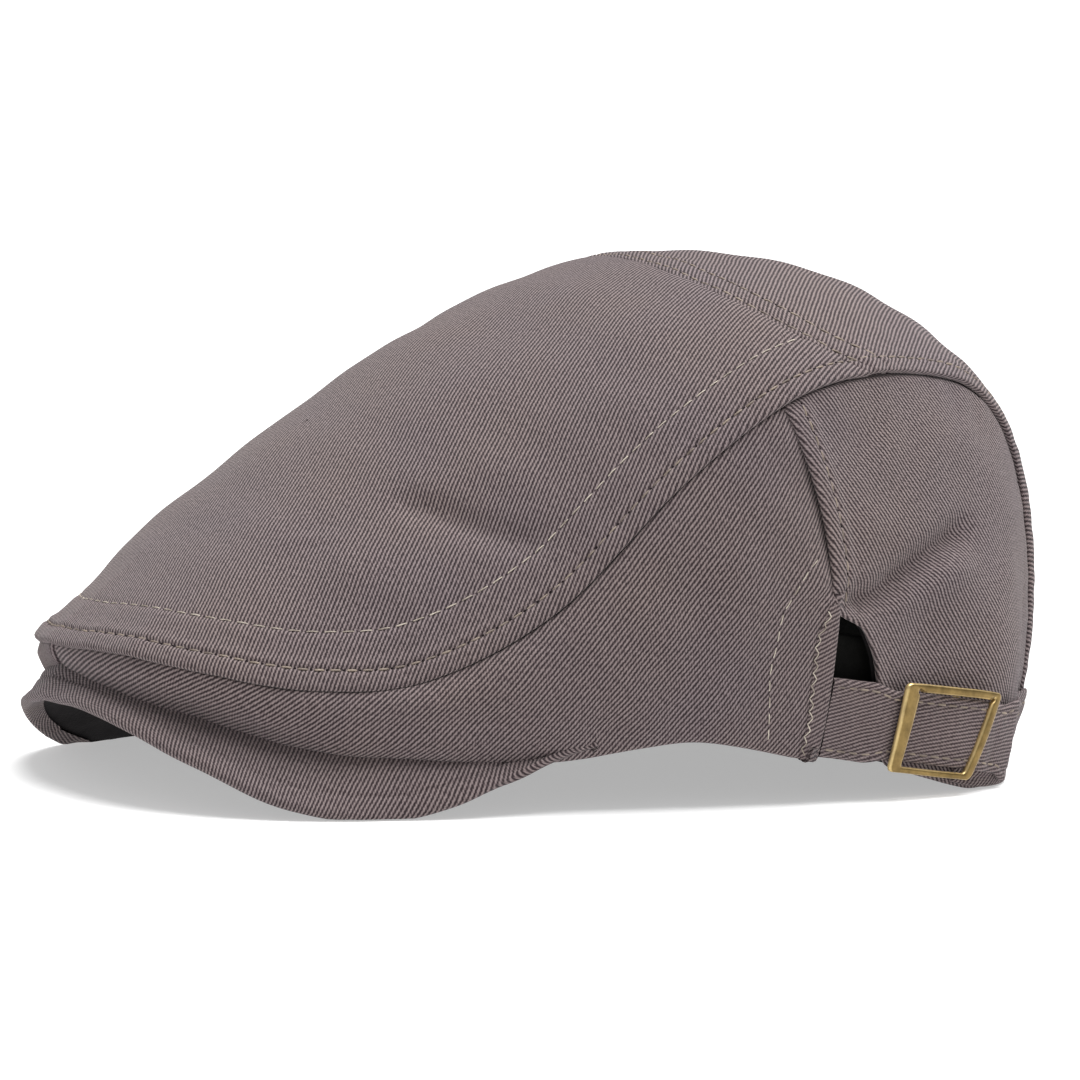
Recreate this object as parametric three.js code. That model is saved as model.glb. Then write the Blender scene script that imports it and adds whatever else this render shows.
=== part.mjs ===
import * as THREE from 'three';

// A flat cap lying on its hem, peak towards -Y, wearer's left towards +X, up is +Z.
// All lengths are millimetres.

const capHalfWidth = 80;
const capHalfLength = 120;
const crownHeight = 122.5;
const sideBulge = 6.5;
const clothThickness = 2;
const hemBlend = 7;
const seamGap = 0.38;
const footGap = 0.65;
const edgeGap = 0.4;

const peakThickness = 3.4;
const peakEndStation = 5.36;

const bandClearance = 1.04;
const napeClearance = 1.46;
const headHalfWidth = 0.988 * capHalfWidth - clothThickness - bandClearance;
const headCentreY = 0.117 * capHalfLength;
const headHalfLength = 0.954 * capHalfLength - clothThickness - napeClearance - headCentreY;
const foreheadRoundness = 2.2;
const napeSquareness = 2.5;
const sweatbandHeight = 28;
const sweatbandThickness = 1.2;
const sweatbandLean = 8;

const frontSag = 7;
const frontTwist = 6;
const sagStart = 0.375 * capHalfLength;
const sagReach = 0.69 * capHalfWidth;
const sagFoot = 4;

const strapHalfWidth = 9.4;
const strapThickness = 1.6;
const strapSqueeze = 1.2;
const strapLean = 0.17;
const strapStart = 7.2;
const strapEnd = 9.72;

const buckleHalfHeight = 10.3;
const buckleRail = 1.7;
const buckleThickness = 1.8;
const ringFrontLift = 2.5;
const ringBackLift = 3.4;
const buckleFrontStart = 8.0;
const buckleFrontEnd = 8.13;
const buckleBackStart = 9.24;
const buckleBackEnd = 9.4;
const barStart = 8.64;
const barEnd = 8.72;
const barThickness = 1.5;
const barHalfHeight = 9.6;
const tabLift = 0.25;

const tabThickness = 0.9;
const tabTop = 18.4;
const tabFoot = 0.6;
const tabStart = 8.77;
const tabEnd = 12.8;

const lastStation = 14;
const sideSeamStation = 7;
const stationStride = 22;

// Stations run from the front centre, round the wearer's left, to the foot of the back seam.
// seam is the edge of the top panel, ridge the line over the middle of the crown, hem the lower edge.
// x is a share of capHalfWidth, y of capHalfLength, z of crownHeight and bulge of sideBulge.
// round is how much of a half turn the crown's cross-section makes.
const stationColumns = [
  'seamX', 'seamY', 'seamZ', 'ridgeY', 'ridgeZ', 'round', 'hemX', 'hemY', 'hemZ', 'bulge',
];
const stations = [
  [0, -1.008, 0.273, -1.008, 0.273, 0.75, 0, -0.983, 0.229, 0.1],
  [0.375, -0.958, 0.282, -0.925, 0.351, 0.75, 0.35, -0.917, 0.204, 0.15],
  [0.625, -0.85, 0.265, -0.808, 0.449, 0.75, 0.575, -0.817, 0.16, 0.3],
  [0.775, -0.683, 0.241, -0.642, 0.571, 0.76, 0.75, -0.667, 0.118, 0.45],
  [0.862, -0.467, 0.257, -0.442, 0.71, 0.78, 0.862, -0.467, 0.106, 0.55],
  [0.925, -0.217, 0.384, -0.217, 0.847, 0.8, 0.938, -0.217, 0.098, 0.6],
  [0.95, 0.033, 0.62, 0.008, 0.944, 0.8, 0.988, 0.058, 0.132, 0.7],
  [0.925, 0.25, 0.762, 0.192, 0.984, 0.8, 0.988, 0.3, 0.09, 0.85],
  [0.812, 0.458, 0.804, 0.367, 0.998, 0.8, 0.938, 0.483, 0.064, 0.85],
  [0.65, 0.692, 0.792, 0.583, 0.962, 0.82, 0.85, 0.692, 0.008, 0.92],
  [0.55, 0.817, 0.735, 0.775, 0.878, 0.86, 0.74, 0.8, 0, 1],
  [0.494, 0.908, 0.612, 0.958, 0.686, 1, 0.575, 0.846, 0, 0.75],
  [0.456, 0.96, 0.367, 1.017, 0.392, 1, 0.5, 0.875, 0, 0.4],
  [0.45, 0.95, 0.147, 0.996, 0.147, 0.9, 0.46, 0.893, 0, 0.15],
  [0.438, 0.917, 0, 0.954, 0, 0.8, 0.438, 0.917, 0, 0],
];

// The peak's rays: its outer edge, and its rear edge as a share of the head opening's front half.
const peakColumns = ['outX', 'outY', 'outZ', 'inAlong', 'inZ'];
const peakRays = [
  [0, -1.042, 0.19, 1.004, 0.282],
  [0.41, -0.99, 0.172, 0.976, 0.27],
  [0.685, -0.878, 0.104, 0.924, 0.25],
  [0.85, -0.72, 0.03, 0.821, 0.208],
  [0.925, -0.515, 0.01, 0.657, 0.138],
  [0.98, -0.246, 0.086, 0.419, 0.102],
  [1.01, 0.04, 0.14, 0.073, 0.135],
];

// Height of the sweatband's lower edge from the front of the head opening, -1, to its back, 1.
const sweatbandColumns = ['along', 'lowZ'];
const sweatbandEdge = [
  [-1, 0.255],
  [-0.92, 0.222],
  [-0.825, 0.18],
  [-0.66, 0.11],
  [-0.423, 0.092],
  [-0.144, 0.133],
  [-0.02, 0.138],
  [0.227, 0.097],
  [0.454, 0.07],
  [0.71, 0.016],
  [0.845, 0.007],
  [1, 0.007],
];

// Lower front corner of the left quarter panel, cut back for the adjuster.
const cutColumns = ['along', 'station', 'rise'];
const adjusterCut = [
  [0, 7.27, 0.41],
  [0.06, 7.6, 0.37],
  [0.12, 7.79, 0.28],
  [0.18, 7.88, 0.15],
  [0.24, 7.98, 0],
  [1, 13.5, 0],
];

// The strap's inner face above the cloth in strap thicknesses, and its middle line's height.
const strapColumns = ['station', 'lift', 'middle'];
const strapPath = [
  [7.1, -1.2, 0.167],
  [7.6, -0.55, 0.154],
  [7.9, 0.38, 0.146],
  [8.2, 0.38, 0.137],
  [8.6, 1.38, 0.122],
  [8.78, 1.38, 0.116],
  [9.2, 0.9, 0.1],
  [9.8, 0.88, 0.085],
];

function clamp(value, low, high) {
  return Math.min(high, Math.max(low, value));
}

function smooth(value) {
  const v = clamp(value, 0, 1);
  return v * v * (3 - 2 * v);
}

function mix(a, b, share) {
  return a + (b - a) * share;
}

// Reads a table whose first column is the position, in straight steps.
function readTable(columns, rows, position) {
  let row = 0;
  while (row < rows.length - 2 && rows[row + 1][0] < position) {
    row += 1;
  }
  const low = rows[row];
  const high = rows[row + 1];
  const share = clamp((position - low[0]) / (high[0] - low[0]), 0, 1);
  const result = {};
  columns.forEach((name, i) => {
    result[name] = mix(low[i], high[i], share);
  });
  return result;
}

// Reads a table of evenly spaced rows along a smooth curve, mirrored about the front centre.
function readCurve(columns, rows, position) {
  const last = rows.length - 1;
  const place = clamp(position, 0, last);
  const row = Math.min(Math.floor(place), last - 1);
  const f = place - row;
  const result = {};
  columns.forEach((name, i) => {
    const mirror = name.endsWith('X') ? -1 : 1;
    const p1 = rows[row][i];
    const p2 = rows[row + 1][i];
    const p0 = row > 0 ? rows[row - 1][i] : mirror * rows[1][i];
    const p3 = row + 2 <= last ? rows[row + 2][i] : 2 * p2 - p1;
    const bend = (2 * p0 - 5 * p1 + 4 * p2 - p3) * f * f;
    const twist = (3 * p1 - p0 - 3 * p2 + p3) * f * f * f;
    result[name] = 0.5 * (2 * p1 + (p2 - p0) * f + bend + twist);
  });
  return result;
}

function stationAt(u) {
  const s = readCurve(stationColumns, stations, u);
  return {
    seam: new THREE.Vector3(s.seamX * capHalfWidth, s.seamY * capHalfLength, s.seamZ * crownHeight),
    ridge: new THREE.Vector3(0, s.ridgeY * capHalfLength, s.ridgeZ * crownHeight),
    hem: new THREE.Vector3(
      s.hemX * capHalfWidth,
      s.hemY * capHalfLength,
      Math.max(0, s.hemZ) * crownHeight,
    ),
    halfTurn: (s.round * Math.PI) / 2,
    bulge: Math.max(0, s.bulge) * sideBulge,
  };
}

// Level direction that points out of the hem.
function hemOutward(u) {
  const before = stationAt(u - 0.02).hem;
  const after = stationAt(u + 0.02).hem;
  const run = after.sub(before);
  return new THREE.Vector3(run.y, -run.x, 0).normalize();
}

// Point of the crown's outer face: u along the cap, w across it from -1 to 1.
function crownPoint(u, w) {
  const s = stationAt(u);
  const turn = w * s.halfTurn;
  const rise = (Math.cos(turn) - Math.cos(s.halfTurn)) / (1 - Math.cos(s.halfTurn));
  return new THREE.Vector3(
    (s.seam.x * Math.sin(turn)) / Math.sin(s.halfTurn),
    mix(s.seam.y, s.ridge.y, rise),
    mix(s.seam.z, s.ridge.z, rise),
  );
}

// Point of the side wall's outer face: u along the cap, t from the hem up to the seam.
function wallPoint(u, t) {
  const s = stationAt(u);
  const point = s.hem.clone().lerp(s.seam, t);
  return point.addScaledVector(hemOutward(u), s.bulge * 4 * t * (1 - t));
}

function faceNormal(surface, a, b, outward) {
  const step = 0.01;
  const alongA = surface(a + step, b).sub(surface(a - step, b));
  const alongB = surface(a, b + step).sub(surface(a, b - step));
  const normal = alongA.cross(alongB).normalize();
  return normal.dot(outward) < 0 ? normal.negate() : normal;
}

function crownNormal(u, w) {
  const uu = clamp(u, 0.08, lastStation - 0.02);
  const point = crownPoint(uu, w);
  const outward = point.clone().sub(new THREE.Vector3(0, point.y * 0.6, 10));
  return faceNormal(crownPoint, uu, clamp(w, -0.985, 0.985), outward);
}

function wallNormal(u, t) {
  const uu = clamp(u, 0.03, lastStation - 0.8);
  const level = hemOutward(uu);
  return faceNormal(wallPoint, uu, t, level).lerp(level, smooth((u - 10.5) / 1.5)).normalize();
}

// Shared mitre line of the crown and the side wall along their seam.
function seamMitre(u) {
  return crownNormal(u, 0.98).add(wallNormal(u, 0.98)).normalize();
}

function crownInner(u, w) {
  const own = crownNormal(u, w);
  const mitre = seamMitre(u);
  if (u === 0) {
    mitre.x = 0;
    return crownPoint(0, 0).addScaledVector(mitre.normalize(), -clothThickness);
  }
  if (w < 0) {
    mitre.x *= -1;
  }
  const nearSeam = Math.max(Math.abs(w) ** 4, (1 - smooth(u / 0.7)) ** 2);
  const direction = own.clone().lerp(mitre, nearSeam);
  direction.z *= 1 - smooth((u - lastStation + 0.8) / 0.8);
  direction.normalize();
  const depth = clothThickness / Math.max(0.6, direction.dot(own));
  return crownPoint(u, w).addScaledVector(direction, -depth);
}

// Slope of the peak's upper face where the side wall stands on it.
function peakSlope(u) {
  if (u > peakEndStation) {
    return 0;
  }
  const place = clamp(u, 0.04, peakEndStation);
  const normal = faceNormal(peakPoint, place, peakJoin(place) - 0.04, new THREE.Vector3(0, 0, 1));
  const outward = hemOutward(place);
  return clamp((normal.x * outward.x + normal.y * outward.y) / normal.z, 0, 2);
}

function wallInner(u, t) {
  const own = wallNormal(u, t);
  const nearSeam = t ** 4;
  const direction = own.clone().lerp(seamMitre(u), nearSeam);
  const s = stationAt(u);
  const height = s.seam.distanceTo(s.hem) * t;
  const nearHem = (1 - smooth(height / hemBlend)) * (1 - nearSeam);
  direction.lerp(hemOutward(u), nearHem).normalize();
  const depth = clothThickness / Math.max(0.6, direction.dot(own));
  const point = wallPoint(u, t).addScaledVector(direction, -depth);
  point.z += nearHem * (0.2 + depth * 1.1 * peakSlope(u)) * (u < peakEndStation ? 1 : 0);
  return point;
}

// Half width of the head opening at one place along the cap.
function headWidthAt(y) {
  const bend = y < headCentreY ? foreheadRoundness : napeSquareness;
  const share = clamp(Math.abs(y - headCentreY) / headHalfLength, 0, 1);
  return headHalfWidth * (1 - share ** bend) ** (1 / bend);
}

function peakRay(u) {
  const r = readCurve(peakColumns, peakRays, u);
  const along = Math.min(1, r.inAlong);
  const inY = headCentreY - headHalfLength * along - edgeGap;
  const inX = headWidthAt(inY + edgeGap) + edgeGap;
  return {
    outer: new THREE.Vector3(r.outX * capHalfWidth, r.outY * capHalfLength, r.outZ * crownHeight),
    join: wallPoint(u, 0).sub(new THREE.Vector3(0, 0, seamGap)),
    inner: new THREE.Vector3(u === 0 ? 0 : inX * smooth(u * 2.2), inY, r.inZ * crownHeight),
  };
}

function peakJoin(u) {
  const r = peakRay(u);
  const inside = r.inner.distanceTo(r.join);
  return inside / (inside + r.join.distanceTo(r.outer));
}

// Upper face of the peak: t = 0 at the sweatband, t = 1 at the outer edge.
function peakPoint(u, t) {
  const r = peakRay(u);
  const m = peakJoin(u);
  const a = ((t - m) * (t - 1)) / m;
  const b = (t * (t - 1)) / (m * (m - 1));
  const c = (t * (t - m)) / (1 - m);
  return r.inner.clone().multiplyScalar(a).addScaledVector(r.join, b).addScaledVector(r.outer, c);
}

function peakUnder(u, t) {
  const uu = clamp(u, 0.04, peakEndStation - 0.03);
  const up = new THREE.Vector3(0, 0, 1);
  const normal = faceNormal(peakPoint, uu, clamp(t, 0.02, 0.98), up);
  if (u < 0.04) {
    normal.x = 0;
  }
  normal.z = Math.max(normal.z, 0.35);
  const temple = smooth(u - 4.3);
  const direction = up.lerp(normal.normalize(), smooth(t * 1.5) * (1 - temple)).normalize();
  return peakPoint(u, t).addScaledVector(direction, -peakThickness * (1 - 0.4 * temple));
}

// The front of the cap sags a little on the wearer's right, as soft cloth does.
function settle(point) {
  const front = smooth((-point.y - sagStart - point.z / 2) / sagStart);
  const right = clamp(-point.x / sagReach, 0, 1);
  const above = clamp(point.z / sagFoot, 0, 1);
  const z = point.z - frontSag * front * right * above;
  const twist = frontTwist * front * right;
  return new THREE.Vector3(point.x + twist, point.y + 0.4 * twist, Math.max(0, z));
}

function mirrored(point) {
  return new THREE.Vector3(-point.x, point.y, point.z);
}

// Closed shell between an outer and an inner grid of points with the same rows and columns.
function closedShell(outer, inner, loops) {
  const rows = outer.length;
  const columns = outer[0].length;
  const corners = [];
  const addTriangle = (a, b, c) => {
    const area = b.clone().sub(a).cross(c.clone().sub(a)).length();
    if (area > 1e-7) {
      corners.push(a, b, c);
    }
  };
  const addQuad = (a, b, c, d) => {
    addTriangle(a, b, c);
    addTriangle(a, c, d);
  };
  for (let i = 0; i < rows - 1; i += 1) {
    for (let j = 0; j < columns - 1; j += 1) {
      addQuad(outer[i][j], outer[i + 1][j], outer[i + 1][j + 1], outer[i][j + 1]);
      addQuad(inner[i][j], inner[i][j + 1], inner[i + 1][j + 1], inner[i + 1][j]);
    }
  }
  const lastRow = rows - 1;
  const lastColumn = columns - 1;
  for (let j = 0; j < lastColumn && !loops; j += 1) {
    addQuad(outer[0][j], outer[0][j + 1], inner[0][j + 1], inner[0][j]);
    addQuad(outer[lastRow][j + 1], outer[lastRow][j], inner[lastRow][j], inner[lastRow][j + 1]);
  }
  for (let i = 0; i < lastRow; i += 1) {
    addQuad(outer[i + 1][0], outer[i][0], inner[i][0], inner[i + 1][0]);
    addQuad(outer[i][lastColumn], outer[i + 1][lastColumn], inner[i + 1][lastColumn], inner[i][lastColumn]);
  }
  return turnOutward(corners);
}

function turnOutward(corners) {
  let volume = 0;
  for (let i = 0; i < corners.length; i += 3) {
    volume += corners[i].dot(corners[i + 1].clone().cross(corners[i + 2]));
  }
  const positions = [];
  for (let i = 0; i < corners.length; i += 3) {
    const order = volume > 0 ? [0, 1, 2] : [0, 2, 1];
    order.forEach((k) => {
      const p = corners[i + k];
      positions.push(p.x, p.y, p.z);
    });
  }
  const geometry = new THREE.BufferGeometry();
  geometry.setAttribute('position', new THREE.Float32BufferAttribute(positions, 3));
  geometry.computeVertexNormals();
  return geometry;
}

function makeGrid(rows, columns, pointAt) {
  const grid = [];
  for (let i = 0; i <= rows; i += 1) {
    const line = [];
    for (let j = 0; j <= columns; j += 1) {
      line.push(pointAt(i / rows, j / columns));
    }
    grid.push(line);
  }
  return grid;
}

// A panel cut from one surface: place gives the surface position of each share along and across.
function panel(rows, columns, outerFace, innerFace, place) {
  const outer = makeGrid(rows, columns, (a, b) => settle(outerFace(...place(a, b))));
  const inner = makeGrid(rows, columns, (a, b) => settle(innerFace(...place(a, b))));
  return closedShell(outer, inner, false);
}

// The seam across the crown sweeps forward over the middle.
function crossSeamStation(w) {
  return 8 - (1 - w * w);
}

// The side seam bows backward between the crown seam and the hem.
function sideSeamAt(t) {
  return sideSeamStation + 0.09 * (1 - t) + 0.25 * Math.sin(Math.PI * clamp(t, 0, 1));
}

// Wall share that leaves a seam gap below the crown.
function wallTop(u) {
  const s = stationAt(u);
  const gap = mix(seamGap, footGap, smooth(u - 9));
  return 1 - gap / Math.max(1.2, s.seam.distanceTo(s.hem));
}

const cloth = { color: 0x6b6061, roughness: 0.95, metalness: 0 };
const underCloth = { color: 0x151413, roughness: 0.95, metalness: 0 };
const brass = { color: 0x7a6646, roughness: 0.45, metalness: 0.9 };

const cap = new THREE.Group();
cap.name = 'flat_cap';

function addPiece(name, geometry, finish) {
  const mesh = new THREE.Mesh(geometry, new THREE.MeshStandardMaterial(finish));
  mesh.name = name;
  cap.add(mesh);
}

const topPlace = (a, b) => {
  const w = 2 * b - 1;
  return [a * crossSeamStation(w), w];
};
addPiece('top_panel', panel(26, 20, crownPoint, crownInner, topPlace), cloth);

const backPlace = (a, b) => {
  const w = 2 * b - 1;
  const start = crossSeamStation(w) + seamGap / stationStride;
  return [mix(start, lastStation, a), w];
};
addPiece('back_panel', panel(30, 16, crownPoint, crownInner, backPlace), cloth);

const sidePlace = (a, b) => {
  const uShare = a ** 0.9;
  const uLine = mix(0.006, sideSeamAt(b), uShare);
  return [uLine, b * wallTop(uLine)];
};
const leftSide = panel(26, 7, wallPoint, wallInner, sidePlace);
addPiece('side_panel_left', leftSide, cloth);

function mirroredPanel(rows, columns, place) {
  const outer = makeGrid(rows, columns, (a, b) => settle(mirrored(wallPoint(...place(a, b)))));
  const inner = makeGrid(rows, columns, (a, b) => settle(mirrored(wallInner(...place(a, b)))));
  return closedShell(outer, inner, false);
}
addPiece('side_panel_right', mirroredPanel(26, 7, sidePlace), cloth);

// The quarter panel behind the side seam; the left one is cut back above the strap.
const quarterPlace = (cut) => (a, b) => {
  const low = cut
    ? readTable(cutColumns, adjusterCut, a)
    : { station: mix(sideSeamAt(0) + seamGap / stationStride, 13.5, a), rise: 0 };
  const frontShare = Math.max(0, 1 - a * 8);
  const level = mix(low.rise, 1, b);
  const seamLine = sideSeamAt(level) + seamGap / stationStride;
  const straight = mix(low.station, mix(7.02, 13.5, a), b);
  const u = a === 0 ? seamLine : mix(straight, seamLine, frontShare * 0.5);
  return [u, Math.min(level, wallTop(u))];
};
const quarterLeft = panel(25, 9, wallPoint, wallInner, quarterPlace(true));
addPiece('quarter_panel_left', quarterLeft, cloth);
addPiece('quarter_panel_right', mirroredPanel(20, 8, quarterPlace(false)), cloth);

// The peak runs from temple to temple in one piece.
const peakFace = (surface) => (a, b) => {
  const u = (2 * a - 1) * peakEndStation;
  const point = surface(Math.abs(u), b);
  return settle(u < 0 ? mirrored(point) : point);
};
const peakOuter = makeGrid(30, 8, peakFace(peakPoint));
const peakInner = makeGrid(30, 8, peakFace(peakUnder));
addPiece('peak', closedShell(peakOuter, peakInner, false), cloth);

// The sweatband is one loop inside the head opening, leaning back at the forehead.
function sweatbandPoint(share, height, depth) {
  const angle = share * 2 * Math.PI;
  const bend = Math.cos(angle) > 0 ? foreheadRoundness : napeSquareness;
  const sine = Math.sign(Math.sin(angle)) * Math.abs(Math.sin(angle)) ** (2 / bend);
  const cosine = Math.sign(Math.cos(angle)) * Math.abs(Math.cos(angle)) ** (2 / bend);
  const front = smooth((cosine + 0.4) / 1.4);
  const inward = depth + height * (1.5 + front * sweatbandLean);
  const x = (headHalfWidth - inward) * sine;
  const y = headCentreY - (headHalfLength - inward) * cosine;
  const low = readTable(sweatbandColumns, sweatbandEdge, -cosine).lowZ * crownHeight;
  return settle(new THREE.Vector3(x, y, low + height * sweatbandHeight));
}
const bandRows = 60;
const bandOuter = makeGrid(bandRows, 3, (a, b) => sweatbandPoint(a % 1, b, 0));
const bandInner = makeGrid(bandRows, 3, (a, b) => sweatbandPoint(a % 1, b, sweatbandThickness));
addPiece('sweatband', closedShell(bandOuter, bandInner, true), underCloth);

// Place on the strap: u along it, v across it in mm, lift above the cloth.
function strapPoint(u, v, lift) {
  const middle = readTable(strapColumns, strapPath, u).middle * crownHeight;
  const place = u + (v * Math.sin(strapLean)) / stationStride;
  const z = middle + v * Math.cos(strapLean);
  const s = stationAt(place);
  const t = (z - s.hem.z) / (s.seam.z - s.hem.z);
  const normal = wallNormal(place, clamp(t, 0.01, 1));
  return wallPoint(place, t).addScaledVector(normal, lift);
}

function strapFace(lift) {
  return (a, b) => {
    const u = mix(strapStart, strapEnd, a);
    const base = readTable(strapColumns, strapPath, u).lift * strapThickness;
    const squeeze = smooth((u - 7.7) / 0.3) * (1 - smooth((u - 9.4) / 0.3));
    const half = strapHalfWidth - strapSqueeze * squeeze;
    return settle(strapPoint(u, mix(-half, half, b), base + lift));
  };
}
const strapOuter = makeGrid(22, 4, strapFace(strapThickness));
const strapInner = makeGrid(22, 4, strapFace(0));
addPiece('strap', closedShell(strapOuter, strapInner, false), cloth);

// The buckle's frame is a flat ring that follows the curve of the head.
function ringPoint(u, v, depth) {
  const tilt = (u - buckleFrontStart) / (buckleBackEnd - buckleFrontStart);
  return settle(strapPoint(u, v, mix(ringFrontLift, ringBackLift, tilt) + depth));
}
function ringPath(front, back, half) {
  const path = [];
  const steps = 8;
  for (let i = 0; i < steps; i += 1) {
    path.push([mix(front, back, i / steps), half]);
  }
  for (let i = 0; i < 3; i += 1) {
    path.push([back, mix(half, -half, i / 3)]);
  }
  for (let i = 0; i < steps; i += 1) {
    path.push([mix(back, front, i / steps), -half]);
  }
  for (let i = 0; i < 3; i += 1) {
    path.push([front, mix(-half, half, i / 3)]);
  }
  path.push(path[0]);
  return path;
}
const ringWide = ringPath(buckleFrontStart, buckleBackEnd, buckleHalfHeight);
const ringNarrow = ringPath(buckleFrontEnd, buckleBackStart, buckleHalfHeight - buckleRail);
const ringTop = ringWide.map((p, i) => [ringPoint(...p, buckleThickness), ringPoint(...ringNarrow[i], buckleThickness)]);
const ringFoot = ringWide.map((p, i) => [ringPoint(...p, 0), ringPoint(...ringNarrow[i], 0)]);
addPiece('buckle_frame', closedShell(ringTop, ringFoot, true), brass);

// The bar the strap is led over, across the back of the frame.
const barFace = (lift) => (a, b) => settle(strapPoint(mix(barStart, barEnd, b), mix(-barHalfHeight, barHalfHeight, a), lift));
const barOuter = makeGrid(6, 1, barFace(seamGap + barThickness));
const barInner = makeGrid(6, 1, barFace(seamGap));
addPiece('buckle_bar', closedShell(barOuter, barInner, false), brass);

// The tab that holds the bar runs along the hem to the back seam.
const tabFace = (lift) => (a, b) => {
  const u = mix(tabStart, tabEnd, a);
  const s = stationAt(u);
  const z = mix(s.hem.z + tabFoot, tabTop, b);
  const t = (z - s.hem.z) / (s.seam.z - s.hem.z);
  return settle(wallPoint(u, t).addScaledVector(wallNormal(u, t), lift));
};
const tabOuter = makeGrid(22, 3, tabFace(tabLift + tabThickness));
const tabInner = makeGrid(22, 3, tabFace(tabLift));
addPiece('buckle_tab', closedShell(tabOuter, tabInner, false), cloth);

// The frame's origin is the middle of the base of the whole cap.
const bounds = new THREE.Box3().setFromObject(cap);
const middle = bounds.getCenter(new THREE.Vector3());
cap.children.forEach((mesh) => {
  mesh.geometry.translate(-middle.x, -middle.y, -bounds.min.z);
});

export default cap;
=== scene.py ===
import math
from types import SimpleNamespace
import bpy
import numpy as np
from mathutils import Matrix, Vector


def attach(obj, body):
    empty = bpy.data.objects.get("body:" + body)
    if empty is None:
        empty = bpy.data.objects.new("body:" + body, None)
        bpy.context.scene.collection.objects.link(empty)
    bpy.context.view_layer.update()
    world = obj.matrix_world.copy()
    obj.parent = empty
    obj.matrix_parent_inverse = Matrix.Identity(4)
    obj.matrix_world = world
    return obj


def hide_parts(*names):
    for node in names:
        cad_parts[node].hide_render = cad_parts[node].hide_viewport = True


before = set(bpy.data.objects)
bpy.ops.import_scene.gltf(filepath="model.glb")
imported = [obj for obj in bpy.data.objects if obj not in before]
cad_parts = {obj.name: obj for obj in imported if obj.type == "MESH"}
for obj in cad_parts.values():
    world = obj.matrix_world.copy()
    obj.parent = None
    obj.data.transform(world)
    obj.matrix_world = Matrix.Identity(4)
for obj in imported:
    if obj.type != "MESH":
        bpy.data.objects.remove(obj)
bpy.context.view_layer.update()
scene = bpy.context.scene
print("frame loaded")

# The cap's forms in millimetres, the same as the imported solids: peak to -Y, wearer's left to +X.
cap = {
    "halfWidth": 80.0, "halfLength": 120.0, "crownHeight": 122.5, "sideBulge": 6.5,
    "cloth": 2.0,               # folded cloth
    "lastStation": 14.0, "stationStride": 22.0, "evened": 0.75,
    "frontSag": 7.0, "frontTwist": 6.0, "sagStart": 45.0, "sagReach": 55.2, "sagFoot": 4.0,
    "moveY": 1.4174,            # origin is the middle of the base
    "step": 1.05,     # mesh step along a panel
}

# seamX seamY seamZ ridgeY ridgeZ round hemX hemY hemZ bulge, as shares of the sizes above
stations = np.array([
    [0, -1.008, 0.273, -1.008, 0.273, 0.75, 0, -0.983, 0.229, 0.1],
    [0.375, -0.958, 0.282, -0.925, 0.351, 0.75, 0.35, -0.917, 0.204, 0.15],
    [0.625, -0.85, 0.265, -0.808, 0.449, 0.75, 0.575, -0.817, 0.16, 0.3],
    [0.775, -0.683, 0.241, -0.642, 0.571, 0.76, 0.75, -0.667, 0.118, 0.45],
    [0.862, -0.467, 0.257, -0.442, 0.71, 0.78, 0.862, -0.467, 0.106, 0.55],
    [0.925, -0.217, 0.384, -0.217, 0.847, 0.8, 0.938, -0.217, 0.098, 0.6],
    [0.95, 0.033, 0.62, 0.008, 0.944, 0.8, 0.988, 0.058, 0.132, 0.7],
    [0.925, 0.25, 0.762, 0.192, 0.984, 0.8, 0.988, 0.3, 0.09, 0.85],
    [0.812, 0.458, 0.804, 0.367, 0.998, 0.8, 0.938, 0.483, 0.064, 0.85],
    [0.65, 0.692, 0.792, 0.583, 0.962, 0.82, 0.85, 0.692, 0.008, 0.92],
    [0.55, 0.817, 0.735, 0.775, 0.878, 0.86, 0.74, 0.8, 0, 1],
    [0.494, 0.908, 0.612, 0.958, 0.686, 1, 0.575, 0.846, 0, 0.75],
    [0.456, 0.96, 0.367, 1.017, 0.392, 1, 0.5, 0.875, 0, 0.4],
    [0.45, 0.95, 0.147, 0.996, 0.147, 0.9, 0.46, 0.893, 0, 0.15],
    [0.438, 0.917, 0, 0.954, 0, 0.8, 0.438, 0.917, 0, 0],
])


def ease(value, low=0.0, high=1.0):
    v = np.clip((np.asarray(value, float) - low) / (high - low), 0, 1)
    return v * v * (3 - 2 * v)


def mix(a, b, share):
    return a + (b - a) * share


def bell(value, middle, reach):
    return np.exp(-(((value - middle) / reach) ** 2))


def unit(v):
    return v / np.maximum(np.linalg.norm(v, axis=-1, keepdims=True), 1e-9)


def readCurve(rows, mirrored, place):
    last = len(rows) - 1
    sign = np.ones(rows.shape[1])
    sign[mirrored] = -1
    padded = np.vstack([rows[1] * sign, rows, 2 * rows[-1] - rows[-2]])
    place = np.clip(np.asarray(place, float), 0, last)
    row = np.minimum(place.astype(int), last - 1)
    f = (place - row)[..., None]
    p0, p1, p2, p3 = (padded[row + k] for k in range(4))
    bend = (2 * p0 - 5 * p1 + 4 * p2 - p3) * f ** 2
    return 0.5 * (2 * p1 + (p2 - p0) * f + bend + (3 * p1 - p0 - 3 * p2 + p3) * f ** 3)


def readTable(rows, column, place):
    table = np.array(rows, float)
    return np.interp(place, table[:, 0], table[:, column])


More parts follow.
